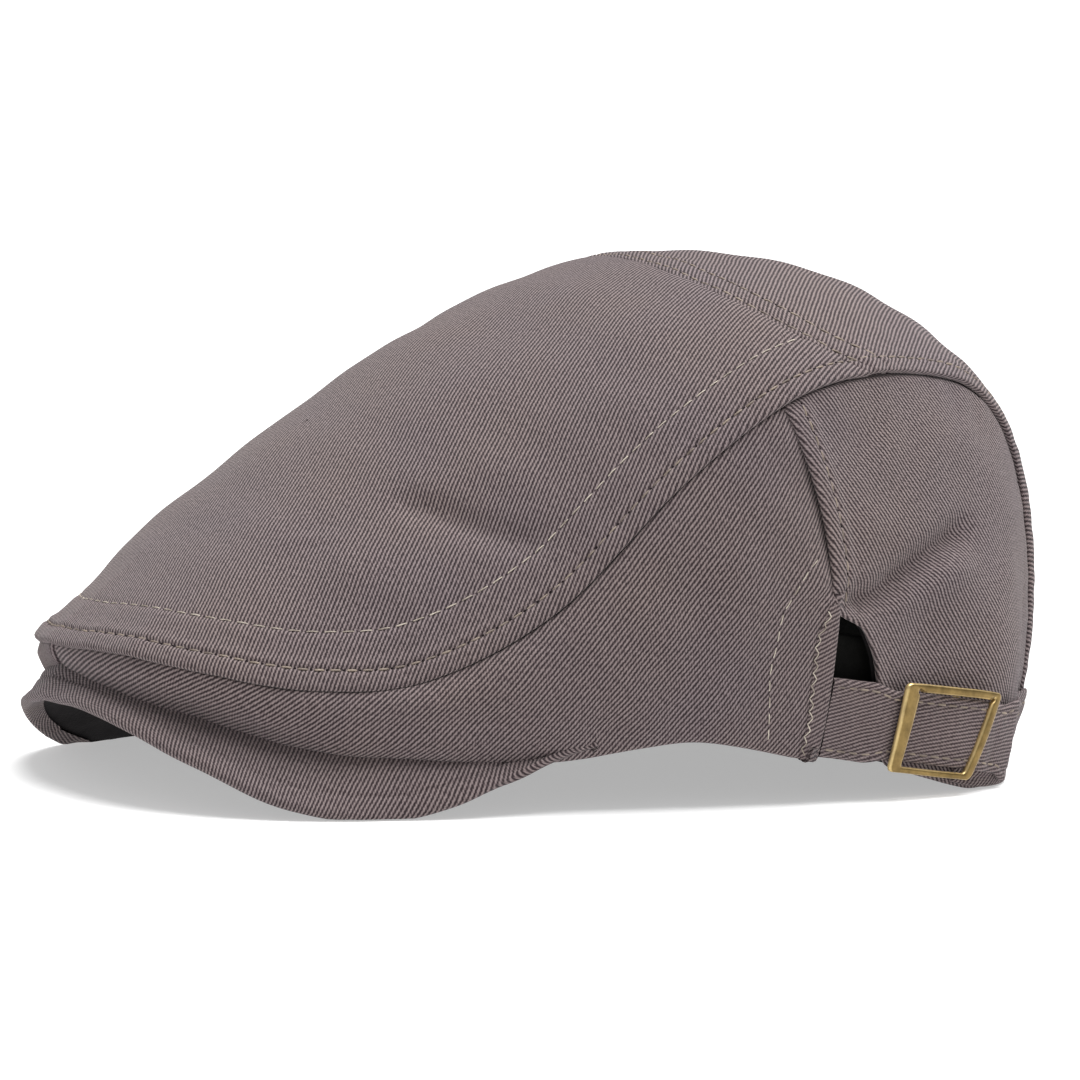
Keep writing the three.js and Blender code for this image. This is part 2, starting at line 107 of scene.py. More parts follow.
def stationAt(u):
    s = readCurve(stations, [0, 6], u)
    reach = cap["evened"] * ease(u, 0, 1.5) * ease(cap["lastStation"] - np.asarray(u), 0, 1)
    ridges = [readCurve(stations[:, 3:6], [], u + part * reach) for part in np.linspace(-1, 1, 5)]
    s[..., 3:6] = np.mean(ridges, axis=0)          # the cloth runs smoothly from one station to the next
    reach = reach * ease(u, 7.8, 9)
    seams = [readCurve(stations[:, :3], [], u + part * reach) for part in np.linspace(-0.8, 0.8, 5)]
    s[..., :3] = mix(s[..., :3], np.mean(seams, axis=0), ease(u, 7.8, 8)[..., None])
    w, l, h = cap["halfWidth"], cap["halfLength"], cap["crownHeight"]
    seam = np.stack([s[..., 0] * w, s[..., 1] * l, s[..., 2] * h], -1)
    ridge = np.stack([s[..., 0] * 0, s[..., 3] * l, s[..., 4] * h], -1)
    hem = np.stack([s[..., 6] * w, s[..., 7] * l, np.maximum(s[..., 8], 0) * h], -1)
    return seam, ridge, hem, s[..., 5] * math.pi / 2, np.maximum(s[..., 9], 0) * cap["sideBulge"]


def hemOutward(u):
    run = stationAt(np.asarray(u) + 0.02)[2] - stationAt(np.asarray(u) - 0.02)[2]
    return unit(np.stack([run[..., 1], -run[..., 0], run[..., 0] * 0], -1))


def crownPoint(u, w):        # u along the cap, w across it from -1 to 1
    u, w = np.broadcast_arrays(np.asarray(u, float), np.asarray(w, float))
    seam, ridge, hem, half, bulge = stationAt(u)
    rise = (np.cos(w * half) - np.cos(half)) / (1 - np.cos(half))
    x = seam[..., 0] * np.sin(w * half) / np.sin(half)
    return np.stack([x, mix(seam[..., 1], ridge[..., 1], rise), mix(seam[..., 2], ridge[..., 2], rise)], -1)


def wallPoint(u, t):         # t from the hem up to the crown's seam
    u, t = np.broadcast_arrays(np.asarray(u, float), np.asarray(t, float))
    seam, ridge, hem, half, bulge = stationAt(u)
    flat = mix(hem, seam, t[..., None])
    return flat + hemOutward(u) * (bulge * 4 * t * (1 - t))[..., None]


def wallNormal(u, t):
    u, t = np.broadcast_arrays(np.asarray(u, float), np.asarray(t, float))
    uu = np.clip(u, 0.03, cap["lastStation"] - 0.8)
    along = wallPoint(uu + 0.01, t) - wallPoint(uu - 0.01, t)
    up = wallPoint(uu, t + 0.01) - wallPoint(uu, t - 0.01)
    own, level = unit(np.cross(along, up)), hemOutward(uu)
    own = own * np.sign((own * level).sum(-1, keepdims=True))
    return unit(mix(own, level, ease(u, 10.5, 12)[..., None]))


def crossSeamAt(w):
    return 8 - (1 - w * w)


def sideSeamAt(t):
    return 7 + 0.09 * (1 - t) + 0.25 * np.sin(math.pi * t)


def settle(p):               # the front sags on the wearer's right; then the frame's own origin
    x, y, z = p[..., 0], p[..., 1], p[..., 2]
    front = ease((-y - cap["sagStart"] - z / 2) / cap["sagStart"])
    right = np.clip(-x / cap["sagReach"], 0, 1)
    drop = cap["frontSag"] * front * right * np.clip(z / cap["sagFoot"], 0, 1)
    twist = cap["frontTwist"] * front * right
    return np.stack([x + twist, y + 0.4 * twist + cap["moveY"], np.maximum(0, z - drop)], -1)


def mirrored(p):
    return p * np.array([-1.0, 1, 1])


# Help for making cloth out of grids of points
def lengthAlong(line):
    steps = np.linalg.norm(np.diff(line, axis=0), axis=1)
    return np.concatenate([[0], np.cumsum(steps)])


def evenPlaces(makeLine, low, high, step):     # places that are evenly spaced along a line
    places = np.linspace(low, high, 600)
    arc = lengthAlong(makeLine(places))
    count = max(4, int(round(arc[-1] / step)))
    return np.interp(np.linspace(0, arc[-1], count + 1), arc, places)


def nearLine(points, line):                    # distance to a line, and where along it
    flat = points.reshape(-1, 3)
    run = np.diff(line, axis=0)
    size = np.maximum((run ** 2).sum(1), 1e-12)
    arc = lengthAlong(line)
    distance, place = np.empty(len(flat)), np.empty(len(flat))
    for k in range(0, len(flat), 3000):
        gap = flat[k:k + 3000, None] - line[None, :-1]
        share = np.clip((gap * run).sum(-1) / size, 0, 1)
        away = ((gap - share[..., None] * run) ** 2).sum(-1)
        best = away.argmin(1)
        row = np.arange(len(best))
        distance[k:k + 3000] = np.sqrt(away[row, best])
        place[k:k + 3000] = arc[best] + share[row, best] * np.sqrt(size[best])
    return distance.reshape(points.shape[:-1]), place.reshape(points.shape[:-1])


def softNoise(points, wavelength, seed):       # smooth noise of about unit size
    rng = np.random.default_rng(seed)
    total = np.zeros(points.shape[:-1])
    for k in range(12):
        way = unit(rng.normal(size=3)) * 2 * math.pi / (wavelength * rng.uniform(0.7, 1.5))
        total = total + np.sin(points @ way + rng.uniform(0, 2 * math.pi))
    return total / math.sqrt(6)


def lineNoise(s, wavelength, seed):
    return softNoise(np.stack([s, s * 0, s * 0 + 7 * seed], -1), wavelength * 0.6, seed)


def gridNormals(grid, centre):
    n = unit(np.cross(np.gradient(grid, axis=0), np.gradient(grid, axis=1)))
    if ((grid - centre) * n).sum(-1).mean() < 0:
        n = -n
    return n


def controlLine(surface, places, count=60):    # smooth line over a surface through given places
    rows = np.array(places, float)
    fine = readCurve(rows, [], np.linspace(0, len(rows) - 1, count))
    return surface(fine[:, 0], fine[:, 1])


def crease(points, surface, places, reach, depth, tail=12.0):     # a soft fold; depth < 0 is a valley
    line = controlLine(surface, places)
    distance, place = nearLine(points, line)
    total = lengthAlong(line)[-1]
    fade = ease(place, 0, tail) * (1 - ease(place, total - tail, total))
    return depth * fade * bell(distance, 0, reach)


def sampleGrid(grid, i, j):                    # reads a grid at fractional rows and columns
    i = np.clip(i, 0, grid.shape[0] - 1.001)
    j = np.clip(j, 0, grid.shape[1] - 1.001)
    a, b = i.astype(int), j.astype(int)
    fi, fj = (i - a)[:, None], (j - b)[:, None]
    low = grid[a, b] * (1 - fj) + grid[a, b + 1] * fj
    high = grid[a + 1, b] * (1 - fj) + grid[a + 1, b + 1] * fj
    return low * (1 - fi) + high * fi


def levelLine(field, level):                   # for each row, the column where a rising field meets a level
    past = np.argmax(field > level, axis=1)
    past = np.maximum(past, 1)
    row = np.arange(len(field))
    a, b = field[row, past - 1], field[row, past]
    return past - 1 + np.clip((level - a) / np.maximum(b - a, 1e-6), 0, 1)


def turnUnder(sheet, side, radius, leg, turn=180, steps=5, out=0.0):
    # rolls one edge of a sheet round and under, as a folded edge; side is first, last, left or right
    grid, normals, uv = sheet["points"], sheet["normals"], sheet["uv"]
    swap = side in ("left", "right")
    if swap:
        grid, normals, uv = (a.swapaxes(0, 1) for a in (grid, normals, uv))
    back = side in ("first", "left")
    if back:
        grid, normals, uv = grid[::-1], normals[::-1], uv[::-1]
    edge, before, n = grid[-1], grid[-2], normals[-1]
    away = edge - before
    away = unit(away - n * (away * n).sum(-1, keepdims=True))
    uvStep = (uv[-1] - uv[-2]) / np.maximum(np.linalg.norm(edge - before, axis=-1, keepdims=True), 0.05)
    uvStep = uvStep / np.maximum(1, np.linalg.norm(uvStep, axis=-1, keepdims=True))
    rows, rowNormals, rowUv = [], [], []
    for k in range(1, steps + 1):
        a = math.radians(turn) * k / steps
        rows.append(edge + away * (radius * math.sin(a) + out) - n * radius * (1 - math.cos(a)))
        rowNormals.append(unit(n * math.cos(a) + away * math.sin(a)))
        rowUv.append(uv[-1] + uvStep * radius * a)
    if leg:
        a = math.radians(turn)
        rows.append(rows[-1] + (away * math.cos(a) - n * math.sin(a)) * leg)
        rowNormals.append(rowNormals[-1])
        rowUv.append(rowUv[-1] + uvStep * leg)
    grid = np.concatenate([grid, np.array(rows)])
    normals = np.concatenate([normals, np.array(rowNormals)])
    uv = np.concatenate([uv, np.array(rowUv)])
    if back:
        grid, normals, uv = grid[::-1], normals[::-1], uv[::-1]
    if swap:
        grid, normals, uv = (a.swapaxes(0, 1) for a in (grid, normals, uv))
    sheet["points"], sheet["normals"], sheet["uv"] = grid, normals, uv


def turnEdges(sheet, edges):                   # each edge as side, radius, leg, turn, steps and how far out
    for edge in edges:
        turnUnder(sheet, *edge)


def addPiece(name, verts, faces, materials):   # verts in millimetres
    mesh = bpy.data.meshes.new(name)
    mesh.from_pydata((verts * 0.001).tolist(), [], faces.tolist())
    mesh.polygons.foreach_set("use_smooth", np.ones(len(faces), bool))
    for material in materials:
        mesh.materials.append(material)
    piece = bpy.data.objects.new(name, mesh)
    scene.collection.objects.link(piece)
    return piece, mesh


def makeMesh(name, blocks, materials):
    # blocks of (grid, uv, material index, closed round the rows), joined in one mesh
    verts, faces, uvs, mats = [], [], [], []
    offset = 0
    for grid, uv, mat, closed in blocks:
        rows, cols = grid.shape[:2]
        index = np.arange(rows * cols).reshape(rows, cols) + offset
        if closed:
            index = np.vstack([index, index[:1]])
        quads = np.stack([index[:-1, :-1], index[1:, :-1], index[1:, 1:], index[:-1, 1:]], -1).reshape(-1, 4)
        verts.append(grid.reshape(-1, 3))
        uvs.append(uv.reshape(-1, 2))
        faces.append(quads)
        mats.append(np.full(len(quads), mat))
        offset += rows * cols
    verts, faces, uvs, mats = (np.concatenate(a) for a in (verts, faces, uvs, mats))
    verts[:, 2] = np.maximum(verts[:, 2], 0.02)          # nothing goes through the table
    piece, mesh = addPiece(name, verts, faces, materials)
    layer = mesh.uv_layers.new(name="cloth")
    layer.data.foreach_set("uv", uvs[faces.reshape(-1)].reshape(-1))
    mesh.polygons.foreach_set("material_index", mats.astype(np.int32))
    mesh.validate()
    mesh.update()
    return piece


def facingOut(grid, normals):                  # whether a grid's faces already point the way its normals do
    n = np.cross(grid[1:, :-1] - grid[:-1, :-1], grid[:-1, 1:] - grid[:-1, :-1])
    return (n * normals[:-1, :-1]).sum() > 0


def makePanel(name, sheets, materials):        # one mesh of a panel's sheets, each in its own material
    blocks = []
    for k, sheet in enumerate(sheets):
        grid, uv = sheet["points"], sheet["uv"]
        if not facingOut(grid, sheet["normals"]):
            grid, uv = grid[::-1], uv[::-1]
        blocks.append((grid, uv, k, False))
    return makeMesh(name, blocks, materials)


def liningOf(base, normals, depth, skip=4):    # coarse inner face of a panel
    rows, cols = (np.unique(np.r_[np.arange(0, size, skip), size - 1]) for size in base.shape[:2])
    inner = (base - normals * depth)[rows][:, cols]
    return {"points": inner, "normals": -normals[rows][:, cols], "uv": inner[..., :2]}


threads = {"dark": [], "light": [], "hole": []}     # every stitch, and the dark capsules of painted shadow at the needle holes, as (starts, ends, normals, radius, arch)
holeForm = {"sink": 0.12, "length": 0.6}            # mm
stitchSink = 0.1                                    # how deep a stitch's ends lie in the cloth, in mm


def readLine(line, arc, places):               # points of a line at lengths along it
    return np.stack([np.interp(places, arc, line[:, k]) for k in range(3)], -1)


def stitchRow(path, normals, pitch, kind="dark", cover=0.7, radius=0.24, arch=0.2, start=0.0, hole=0.26):
    # a row of stitches, each covering a share of the pitch, and dark marks of painted shadow at the needle
    # holes between them
    arc = lengthAlong(path)
    first = start + np.arange(int((arc[-1] - start) / pitch)) * pitch + pitch * (1 - cover) / 2
    last = first + pitch * cover
    ways = readLine(normals, arc, (first + last) / 2)
    starts, ends = (readLine(path, arc, s) - ways * stitchSink for s in (first, last))
    threads[kind].append((starts, ends, ways, radius, arch))
    if hole:
        # each needle hole is a short dark capsule sunk in the cloth: painted shadow of the hole
        s = np.arange(int((arc[-1] - 1) / pitch) + 1) * pitch
        ways = readLine(normals, arc, s)
        sunk = ways * holeForm["sink"]
        starts, ends = (readLine(path, arc, at) - sunk for at in (s, s + holeForm["length"]))
        threads["hole"].append((starts, ends, ways, hole, 0.0))


def holesAlong(path, pitch):                   # places of that seam's needle holes
    arc = lengthAlong(path)
    return readLine(path, arc, np.arange(int(arc[-1] / pitch) + 1) * pitch)


def dimples(points, holes, reach, depth, near):      # near limits the work to points by the seam
    relief = np.zeros(points.shape[:-1])
    flat = points[near]
    if len(flat) and len(holes):
        best = np.full(len(flat), 1e9)
        for k in range(0, len(holes), 200):
            gap = ((flat[:, None] - holes[None, k:k + 200]) ** 2).sum(-1)
            best = np.minimum(best, gap.min(1))
        relief[near] = -depth * np.exp(-best / reach ** 2)
    return relief


def nodeMean(edges, axis):                     # what the two edges beside each point say, averaged
    e = np.moveaxis(edges, axis, 0)
    return np.moveaxis((np.concatenate([e[:1], e]) + np.concatenate([e, e[-1:]])) / 2, 0, axis)


def relax(points, normals, uv, sewn, rounds, steps, twist=0.0):
    # slides a flat pattern about until its lengths and angles are the cloth's own
    run = [np.diff(points, axis=k) for k in (0, 1)]
    size = [np.maximum(np.linalg.norm(d, axis=-1), 0.02) for d in run]
    room = [nodeMean(a, k) for k, a in enumerate(size)]
    pull = [((room[1][1:] + room[1][:-1]) / 2 / size[0])[..., None],
            ((room[0][:, 1:] + room[0][:, :-1]) / 2 / size[1])[..., None]]
    down, right = np.gradient(points, axis=0), np.gradient(points, axis=1)
    still = np.linalg.norm(down, axis=-1) < 1e-3            # the tip, where two rows fold on each other
    down[still] = np.roll(down, 1, axis=1)[still]
    e1 = unit(down - normals * (down * normals).sum(-1, keepdims=True))
    e2 = np.cross(normals, e1)
    dot = lambda a, b: (a * b).sum(-1, keepdims=True)
    a11, a21, a22 = dot(down, e1), dot(right, e1), dot(right, e2)

    def tie(f):                    # the two edges that meet on the middle line stay together
        if sewn:
            f[:, -1] = (f[:, -1] + f[::-1, -1]) / 2
        return f

    def gather(f0, f1):
        total = np.zeros_like(uv)
        total[1:] += f0
        total[:-1] -= f0
        total[:, 1:] += f1
        total[:, :-1] -= f1
        return tie(total)

    def stiff(x):
        return gather(pull[0] * np.diff(x, axis=0), pull[1] * np.diff(x, axis=1))

    for k in range(rounds):
        across = np.gradient(uv, axis=0) / a11
        up = (np.gradient(uv, axis=1) - a21 * across) / np.where(np.abs(a22) < 1e-4, 1e-4, a22)
        if k == 0 and np.median(across[..., 0] * up[..., 1] - across[..., 1] * up[..., 0]) < 0:
            uv, across, up = (a * np.array([1.0, -1.0]) for a in (uv, across, up))
        turn = np.arctan2(across[..., 1] - up[..., 0], across[..., 0] + up[..., 1])
        turn = turn + (twist if k == rounds - 1 else 0)
        c, s = np.cos(turn)[..., None], np.sin(turn)[..., None]
        wish = []
        for axis in (0, 1):
            halves = []
            for end in (slice(0, -1), slice(1, None)):
                at = (end, slice(None)) if axis == 0 else (slice(None), end)
                x, y = dot(run[axis], e1[at]), dot(run[axis], e2[at])
                halves.append(np.concatenate([c[at] * x - s[at] * y, s[at] * x + c[at] * y], -1))
            wish.append((halves[0] + halves[1]) / 2)
        rest = gather(pull[0] * wish[0], pull[1] * wish[1]) - stiff(uv)
        way, power = rest.copy(), (rest ** 2).sum()
        for step in range(steps):
            moved = stiff(way)
            share = power / max((way * moved).sum(), 1e-12)
            uv = uv + share * way
            rest = rest - share * moved
            now = (rest ** 2).sum()
            way, power = rest + way * now / max(power, 1e-12), now
            if now < 1e-6:
                break
    return uv, e1, e2, turn


def layFlat(points, normals, start, lay, sewn=False, twist=None):
    # lays a panel out flat, in millimetres, and turns it so that the ribs run along its second coordinate
    picks, places = [], []
    for axis in (0, 1):
        arc = np.r_[0, np.cumsum(np.linalg.norm(np.diff(points, axis=axis), axis=-1).mean(1 - axis))]
        marks = np.linspace(0, arc[-1], max(6, int(arc[-1] / 4.5)) + 1)
        index = np.unique(np.clip(np.searchsorted(arc, marks), 0, len(arc) - 1))
        index = np.unique(np.concatenate([[0], index, [len(arc) - 1]]))
        if sewn and axis == 0:
            index = np.unique(np.concatenate([index, len(arc) - 1 - index]))
        picks.append(index)
        places.append(np.interp(arc, arc[index], np.arange(len(index))))
    few = lambda a: a[picks[0]][:, picks[1]]
    bend = 0.0 if twist is None else few(twist)
    uv, e1, e2, turn = relax(few(points), few(normals), few(start), sewn, 6, 400, bend)
    i, j = np.meshgrid(places[0], places[1], indexing="ij")
    uv = sampleGrid(uv, i.ravel(), j.ravel()).reshape(points.shape[:2] + (2,))
    uv, e1, e2, turn = relax(points, normals, uv, sewn, 1, 40)
    near = np.unravel_index(((points - np.array(lay["place"])) ** 2).sum(-1).argmin(), points.shape[:2])
    rib = np.cross(normals[near], lay["plane"])
    x, y = (rib * e1[near]).sum(), (rib * e2[near]).sum()
    swing = math.pi / 2 - math.atan2(y, x) - turn[near]
    c, s = math.cos(swing), math.sin(swing)
    return np.stack([uv[..., 0] * c - uv[..., 1] * s, uv[..., 0] * s + uv[..., 1] * c], -1)


def bentStrip(along, above, angle):
    # lays a curved strip flat, turned so that the twill's ribs run along the second coordinate
    step = np.diff(along, prepend=along[0])
    x = np.cumsum(-np.sin(angle) * step)
    y = np.cumsum(np.cos(angle) * step)
    x = x[:, None] + above * np.cos(angle)[:, None]
    y = y[:, None] + above * np.sin(angle)[:, None]
    return np.stack([x, y], -1)


def clothWaves(points, spec, seed, room, fineRoom):        # wide soft waves and a finer unevenness
    wide = spec["softness"] * softNoise(points, spec["softWave"], seed) * room
    return wide + spec["fineness"] * softNoise(points, spec["fineWave"], seed + 1) * fineRoom


# Finishes
def startFinish(name):           # a new material, with short names for making its nodes
    material = bpy.data.materials.new(name)
    material.use_nodes = True
    tree = material.node_tree
    shader = tree.nodes["Principled BSDF"]

    def plug(socket, value):
        if isinstance(value, (int, float, tuple)):
            socket.default_value = value
        else:
            tree.links.new(value, socket)

    def fill(node, values):
        for key, value in values.items():
            if hasattr(node, key):
                setattr(node, key, value)
            else:
                plug(node.inputs[key.replace("_", " ")], value)
        return node

    def add(kind, **values):
        return fill(tree.nodes.new("ShaderNode" + kind), values)

    def maths(operation, *values):
        node = add("Math", operation=operation)
        for socket, value in zip(node.inputs, values):
            plug(socket, value)
        return node.outputs[0]

    body = add("TexCoord").outputs["Object"]

    def noise(scale, detail, place=body, **more):
        return add("TexNoise", Scale=scale, Detail=detail, Vector=place, **more).outputs["Fac"]

    def ramp(value, *stops):     # stops as (place, colour)
        node = add("ValToRGB")
        plug(node.inputs[0], value)
        row = node.color_ramp.elements
        for element, (place, colour) in zip((row[0], row[1]), (stops[0], stops[-1])):
            element.position, element.color = place, colour
        for place, colour in stops[1:-1]:
            row.new(place).color = colour
        return node.outputs[0]

    def blend(kind, share, a, b):
        node = add("Mix", data_type="RGBA", blend_type=kind)
        for k, value in ((0, share), (6, a), (7, b)):
            plug(node.inputs[k], value)
        return node.outputs[2]

    def bump(height, strength, distance):
        node = add("Bump", Strength=strength, Distance=distance, Height=height)
        plug(shader.inputs["Normal"], node.outputs[0])

    def swing(value, size):      # noise about nought
        return maths("MULTIPLY", maths("SUBTRACT", value, 0.5), size)

    return SimpleNamespace(material=material, add=add, maths=maths, body=body, noise=noise, ramp=ramp,
                           blend=blend, bump=bump, swing=swing, shade=lambda **values: fill(shader, values))


def srgb(r, g, b):
    line = [((c / 255 + 0.055) / 1.055) ** 2.4 if c > 10 else c / 255 / 12.92 for c in (r, g, b)]
    return (line[0], line[1], line[2], 1.0)


def twillCloth(name, spec):
    # diagonal ribs one millimetre apart; the map's first coordinate runs across them, in millimetres
    make = startFinish(name)
    maths, noise, swing = make.maths, make.noise, make.swing
    cloth = make.add("UVMap", uv_map="cloth").outputs[0]
    parts = make.add("SeparateXYZ", Vector=cloth)
    x, y = parts.outputs["X"], parts.outputs["Y"]
    drift = swing(noise(spec["wanderScale"], 2.0), spec["wander"])
    across = maths("ADD", maths("DIVIDE", x, spec["rib"]), drift)
    rib = maths("MULTIPLY_ADD", maths("SINE", maths("MULTIPLY", across, 2 * math.pi)), 0.5, 0.5)
    # each rib is a row of short slanting floats
    slant = maths("MULTIPLY_ADD", across, spec["slant"], maths("DIVIDE", y, spec["float"]))
    floats = maths("SINE", maths("MULTIPLY", slant, 2 * math.pi))
    # thread to thread differences, long along the rib and short across it
    stretch = make.add("CombineXYZ", X=maths("MULTIPLY", across, spec["fleckShort"]),
                       Y=maths("MULTIPLY", y, spec["fleckLong"])).outputs[0]
    fleck = noise(1.0, 3.0, stretch, Roughness=0.7)
    height = maths("ADD", rib, maths("MULTIPLY", floats, spec["floatDepth"]))
    level = maths("ADD", height, swing(fleck, spec["fleck"]))
    fuzzy = maths("ADD", level, swing(noise(spec["fuzzScale"], 2.0, cloth), spec["fuzz"]))
    # the colour ramp follows rib height: darker down in the valleys is painted shade and lighter on the rib
    # tops is painted highlight; the fleck and fuzz in it are the yarn's own heather tone
    weave = make.ramp(fuzzy, (0.12, spec["valley"]), (0.55, spec["middle"]), (0.95, spec["high"]))
    tint = make.ramp(noise(spec["cloudScale"], 3.0), (0.3, spec["warm"]), (0.7, spec["cool"]))
    make.bump(level, spec["bump"], spec["ribHeight"])
    make.shade(Base_Color=make.blend("MULTIPLY", 1.0, weave, tint), Specular_IOR_Level=0.18,
               Roughness=maths("MULTIPLY_ADD", rib, -0.10, 0.96),
               Sheen_Weight=spec["sheen"], Sheen_Roughness=0.55)
    return make.material


twillSpec = {
    "rib": 0.95, "float": 0.9, "floatDepth": 0.16, "slant": 1.0, "ribHeight": 0.00020, "bump": 0.8,
    "wander": 0.5, "wanderScale": 140.0, "cloudScale": 28.0, "sheen": 0.1,
    "fleck": 1.5, "fleckShort": 1.5, "fleckLong": 0.85, "fuzz": 0.8, "fuzzScale": 2.6,
    # valley, middle and high are the ramp's colours by rib height: the dark valley is painted shade, the
    # light high is painted highlight
    "valley": srgb(48, 40, 42), "middle": srgb(99, 87, 88), "high": srgb(138, 126, 125),
    "warm": (1.0, 0.965, 0.93, 1), "cool": (0.93, 0.915, 0.95, 1),
}
# the same painted valley shade and rib-top highlight, in the edge cloth's colours
edgeColours = {"valley": srgb(56, 47, 49), "middle": srgb(97, 85, 86), "high": srgb(132, 120, 118)}
twill = twillCloth("heather_twill", twillSpec)
edgeTwill = twillCloth("edge_twill", {**twillSpec, **edgeColours})


def darkCloth(name, grain, weave, rough, low, high):
    make = startFinish(name)
    cells = make.add("TexVoronoi", Scale=weave, Vector=make.body).outputs["Distance"]
    make.bump(cells, 0.5, 0.0002)
    make.shade(Base_Color=make.ramp(make.noise(grain, 4.0), (0, low), (1, high)), Roughness=rough,
               Specular_IOR_Level=0.15)
    return make.material


bandCloth = darkCloth("black_band", 400.0, 1400.0, 0.9, srgb(10, 10, 9), srgb(26, 26, 24))
# dark cloth for the panels' inner faces; under the peak it is painted shade, in place of the grey cover seen
# in shadow
liningAndPeakShade = darkCloth("dark_lining_and_peak_shade", 300.0, 1800.0, 0.8, srgb(22, 20, 21), srgb(44, 41, 42))
# needle holes: dark cloth that paints the holes' shadow
holeShade = darkCloth("painted_hole_shadow", 900.0, 2500.0, 0.95, srgb(20, 16, 17), srgb(40, 33, 34))


def threadFinish(name, low, high):
    make = startFinish(name)
    make.bump(make.noise(2600.0, 1.0), 0.6, 0.0001)
    make.shade(Base_Color=make.ramp(make.noise(260.0, 2.0), (0.35, low), (0.65, high)), Roughness=0.6)
    return make.material


darkThread = threadFinish("edge_thread", srgb(104, 92, 84), srgb(146, 132, 118))
lightThread = threadFinish("light_thread", srgb(138, 127, 116), srgb(196, 186, 172))


def agedBrass(name, dark, middle, highlightTone):
    # old brass: a mottled dark patina in the middle of each bar, and a painted highlight along its long
    # edges
    make = startFinish(name)
    cloud = make.noise(260.0, 5.0, Roughness=0.65)
    brushed = make.noise(2200.0, 3.0)
    place = make.add("UVMap", uv_map="cloth").outputs[0]         # first coordinate 0 to 1 across a bar
    parts = make.add("SeparateXYZ", Vector=place)
    fromMiddle = make.maths("ABSOLUTE", make.maths("SUBTRACT", parts.outputs["X"], 0.5))
    fromMiddle = make.maths("ADD", fromMiddle, make.swing(cloud, 0.12))
    # the bars' long edges take a bright tone: painted highlight
    edgeHighlightShare = make.ramp(fromMiddle, (0.33, (0, 0, 0, 1)), (0.46, (0.8, 0.8, 0.8, 1)))
    patina = make.ramp(cloud, (0.32, dark), (0.68, middle))
    make.bump(brushed, 0.25, 0.0001)
    make.shade(Base_Color=make.blend("MIX", edgeHighlightShare, patina, highlightTone), Metallic=0.92,
               Roughness=make.maths("MULTIPLY_ADD", brushed, 0.35, 0.22))
    return make.material


# the last colour is the painted highlight on the bars' edges
brass = agedBrass("aged_brass", srgb(104, 86, 52), srgb(142, 119, 74), srgb(222, 196, 140))
print("finishes made")


# Top panel: one piece of twill from the front seam to the cross seam
topPanel = {
    "rollRadius": 0.95,         # folded edge over the side panels
    "lift": 0.75,               # height of that edge over the cloth it is sewn to
    "stitchIn": 3.7, "stitchPitch": 3.8, "groove": 0.5,
    "innerIn": 13.2, "innerPitch": 4.1, "innerGroove": 0.3,
    "facing": 0.35,             # turned-in cloth between the two rows
    "pucker": 0.16, "softness": 0.3, "softWave": 46.0, "fineness": 0.12, "fineWave": 17.0,
    "middleY": [-58, -57, -53, -47, -38, -23, -6, 9, 23.04],        # where each station's ray ends
    # the ribs at this place lie square to this way
    "lay": {"place": (10.0, -50.0, 90.0), "plane": (-0.397, -0.735, 0.550)},
}
capCentre = np.array([0, 0, 40.0])


def placesInPlan(x, y):          # crown places (u, w) under points of the plan, by halving
    low, high = np.zeros_like(x), np.full_like(x, 9.0)
    for k in range(24):
        u = (low + high) / 2
        seam, ridge, hem, half, bulge = stationAt(u)
        reach = np.sin(half)
        sine = np.clip(np.abs(x) * reach / np.maximum(seam[..., 0], 1e-6), 0, reach)
        rise = (np.sqrt(1 - sine ** 2) - np.cos(half)) / (1 - np.cos(half))
        past = mix(seam[..., 1], ridge[..., 1], rise) > y
        high = np.where(past, u, high)
        low = np.where(past, low, u)
    u = (low + high) / 2
    seam, ridge, hem, half, bulge = stationAt(u)
    sine = np.clip(np.abs(x) * np.sin(half) / np.maximum(seam[..., 0], 1e-6), 0, np.sin(half))
    return u, np.arcsin(sine) / half


def topRays(ua, b):              # plan points on rays from the seam at station ua in to the middle line
    start = crownPoint(ua, 1.0)[:, None, :2]
    middleY = np.interp(ua, range(9), topPanel["middleY"])
    end = np.stack([ua * 0, middleY], -1)[:, None]
    straight = mix(start, end, b[..., None])
    w = 1 - b
    cross = crownPoint(crossSeamAt(w), w)[..., :2]
    cross0 = mix(crownPoint(8.0, 1.0)[:2], np.array([0, topPanel["middleY"][-1]]), b[..., None])
    return straight + (cross - cross0) * ease(ua, 4.5, 8.0)[:, None, None]


seamPlaces = evenPlaces(lambda u: crownPoint(u, 1.0), 0, 8, cap["step"])
rough = np.linspace(0, 1, 60)[None].repeat(len(seamPlaces), 0)
plan = topRays(seamPlaces, rough)
u, w = placesInPlan(plan[..., 0], plan[..., 1])
u[:, 0], w[:, 0] = seamPlaces, 1
rayPoints = crownPoint(u, w)
rayArc = np.array([lengthAlong(r) for r in rayPoints])
nearEdge = [0, 0.35, 0.7, 1.1, 1.5, 2.0, 2.5, 2.9, 3.2, 3.5, 3.8, 4.1, 4.5, 5, 5.6, 6.4, 7.3, 8.3, 9.4, 10.5,
            11.5, 12.2, 12.7, 13.1, 13.5, 14, 14.8, 16]         # mm in from the seam
nearEdge = nearEdge
inside = 66
wanted = np.array([np.concatenate([nearEdge, np.linspace(16, arc[-1], inside + 1)[1:]]) for arc in rayArc])
b = np.array([np.interp(wanted[k], rayArc[k], rough[k]) for k in range(len(wanted))])
plan = topRays(seamPlaces, b)
u, w = placesInPlan(plan[..., 0], plan[..., 1])
u[:, 0], w[:, 0], w[:, -1] = seamPlaces, 1, 0
half = crownPoint(u, w)
half[:, -1, 0] = 0
topU = np.concatenate([u[::-1], u[1:]])
topW = np.concatenate([-w[::-1], w[1:]])
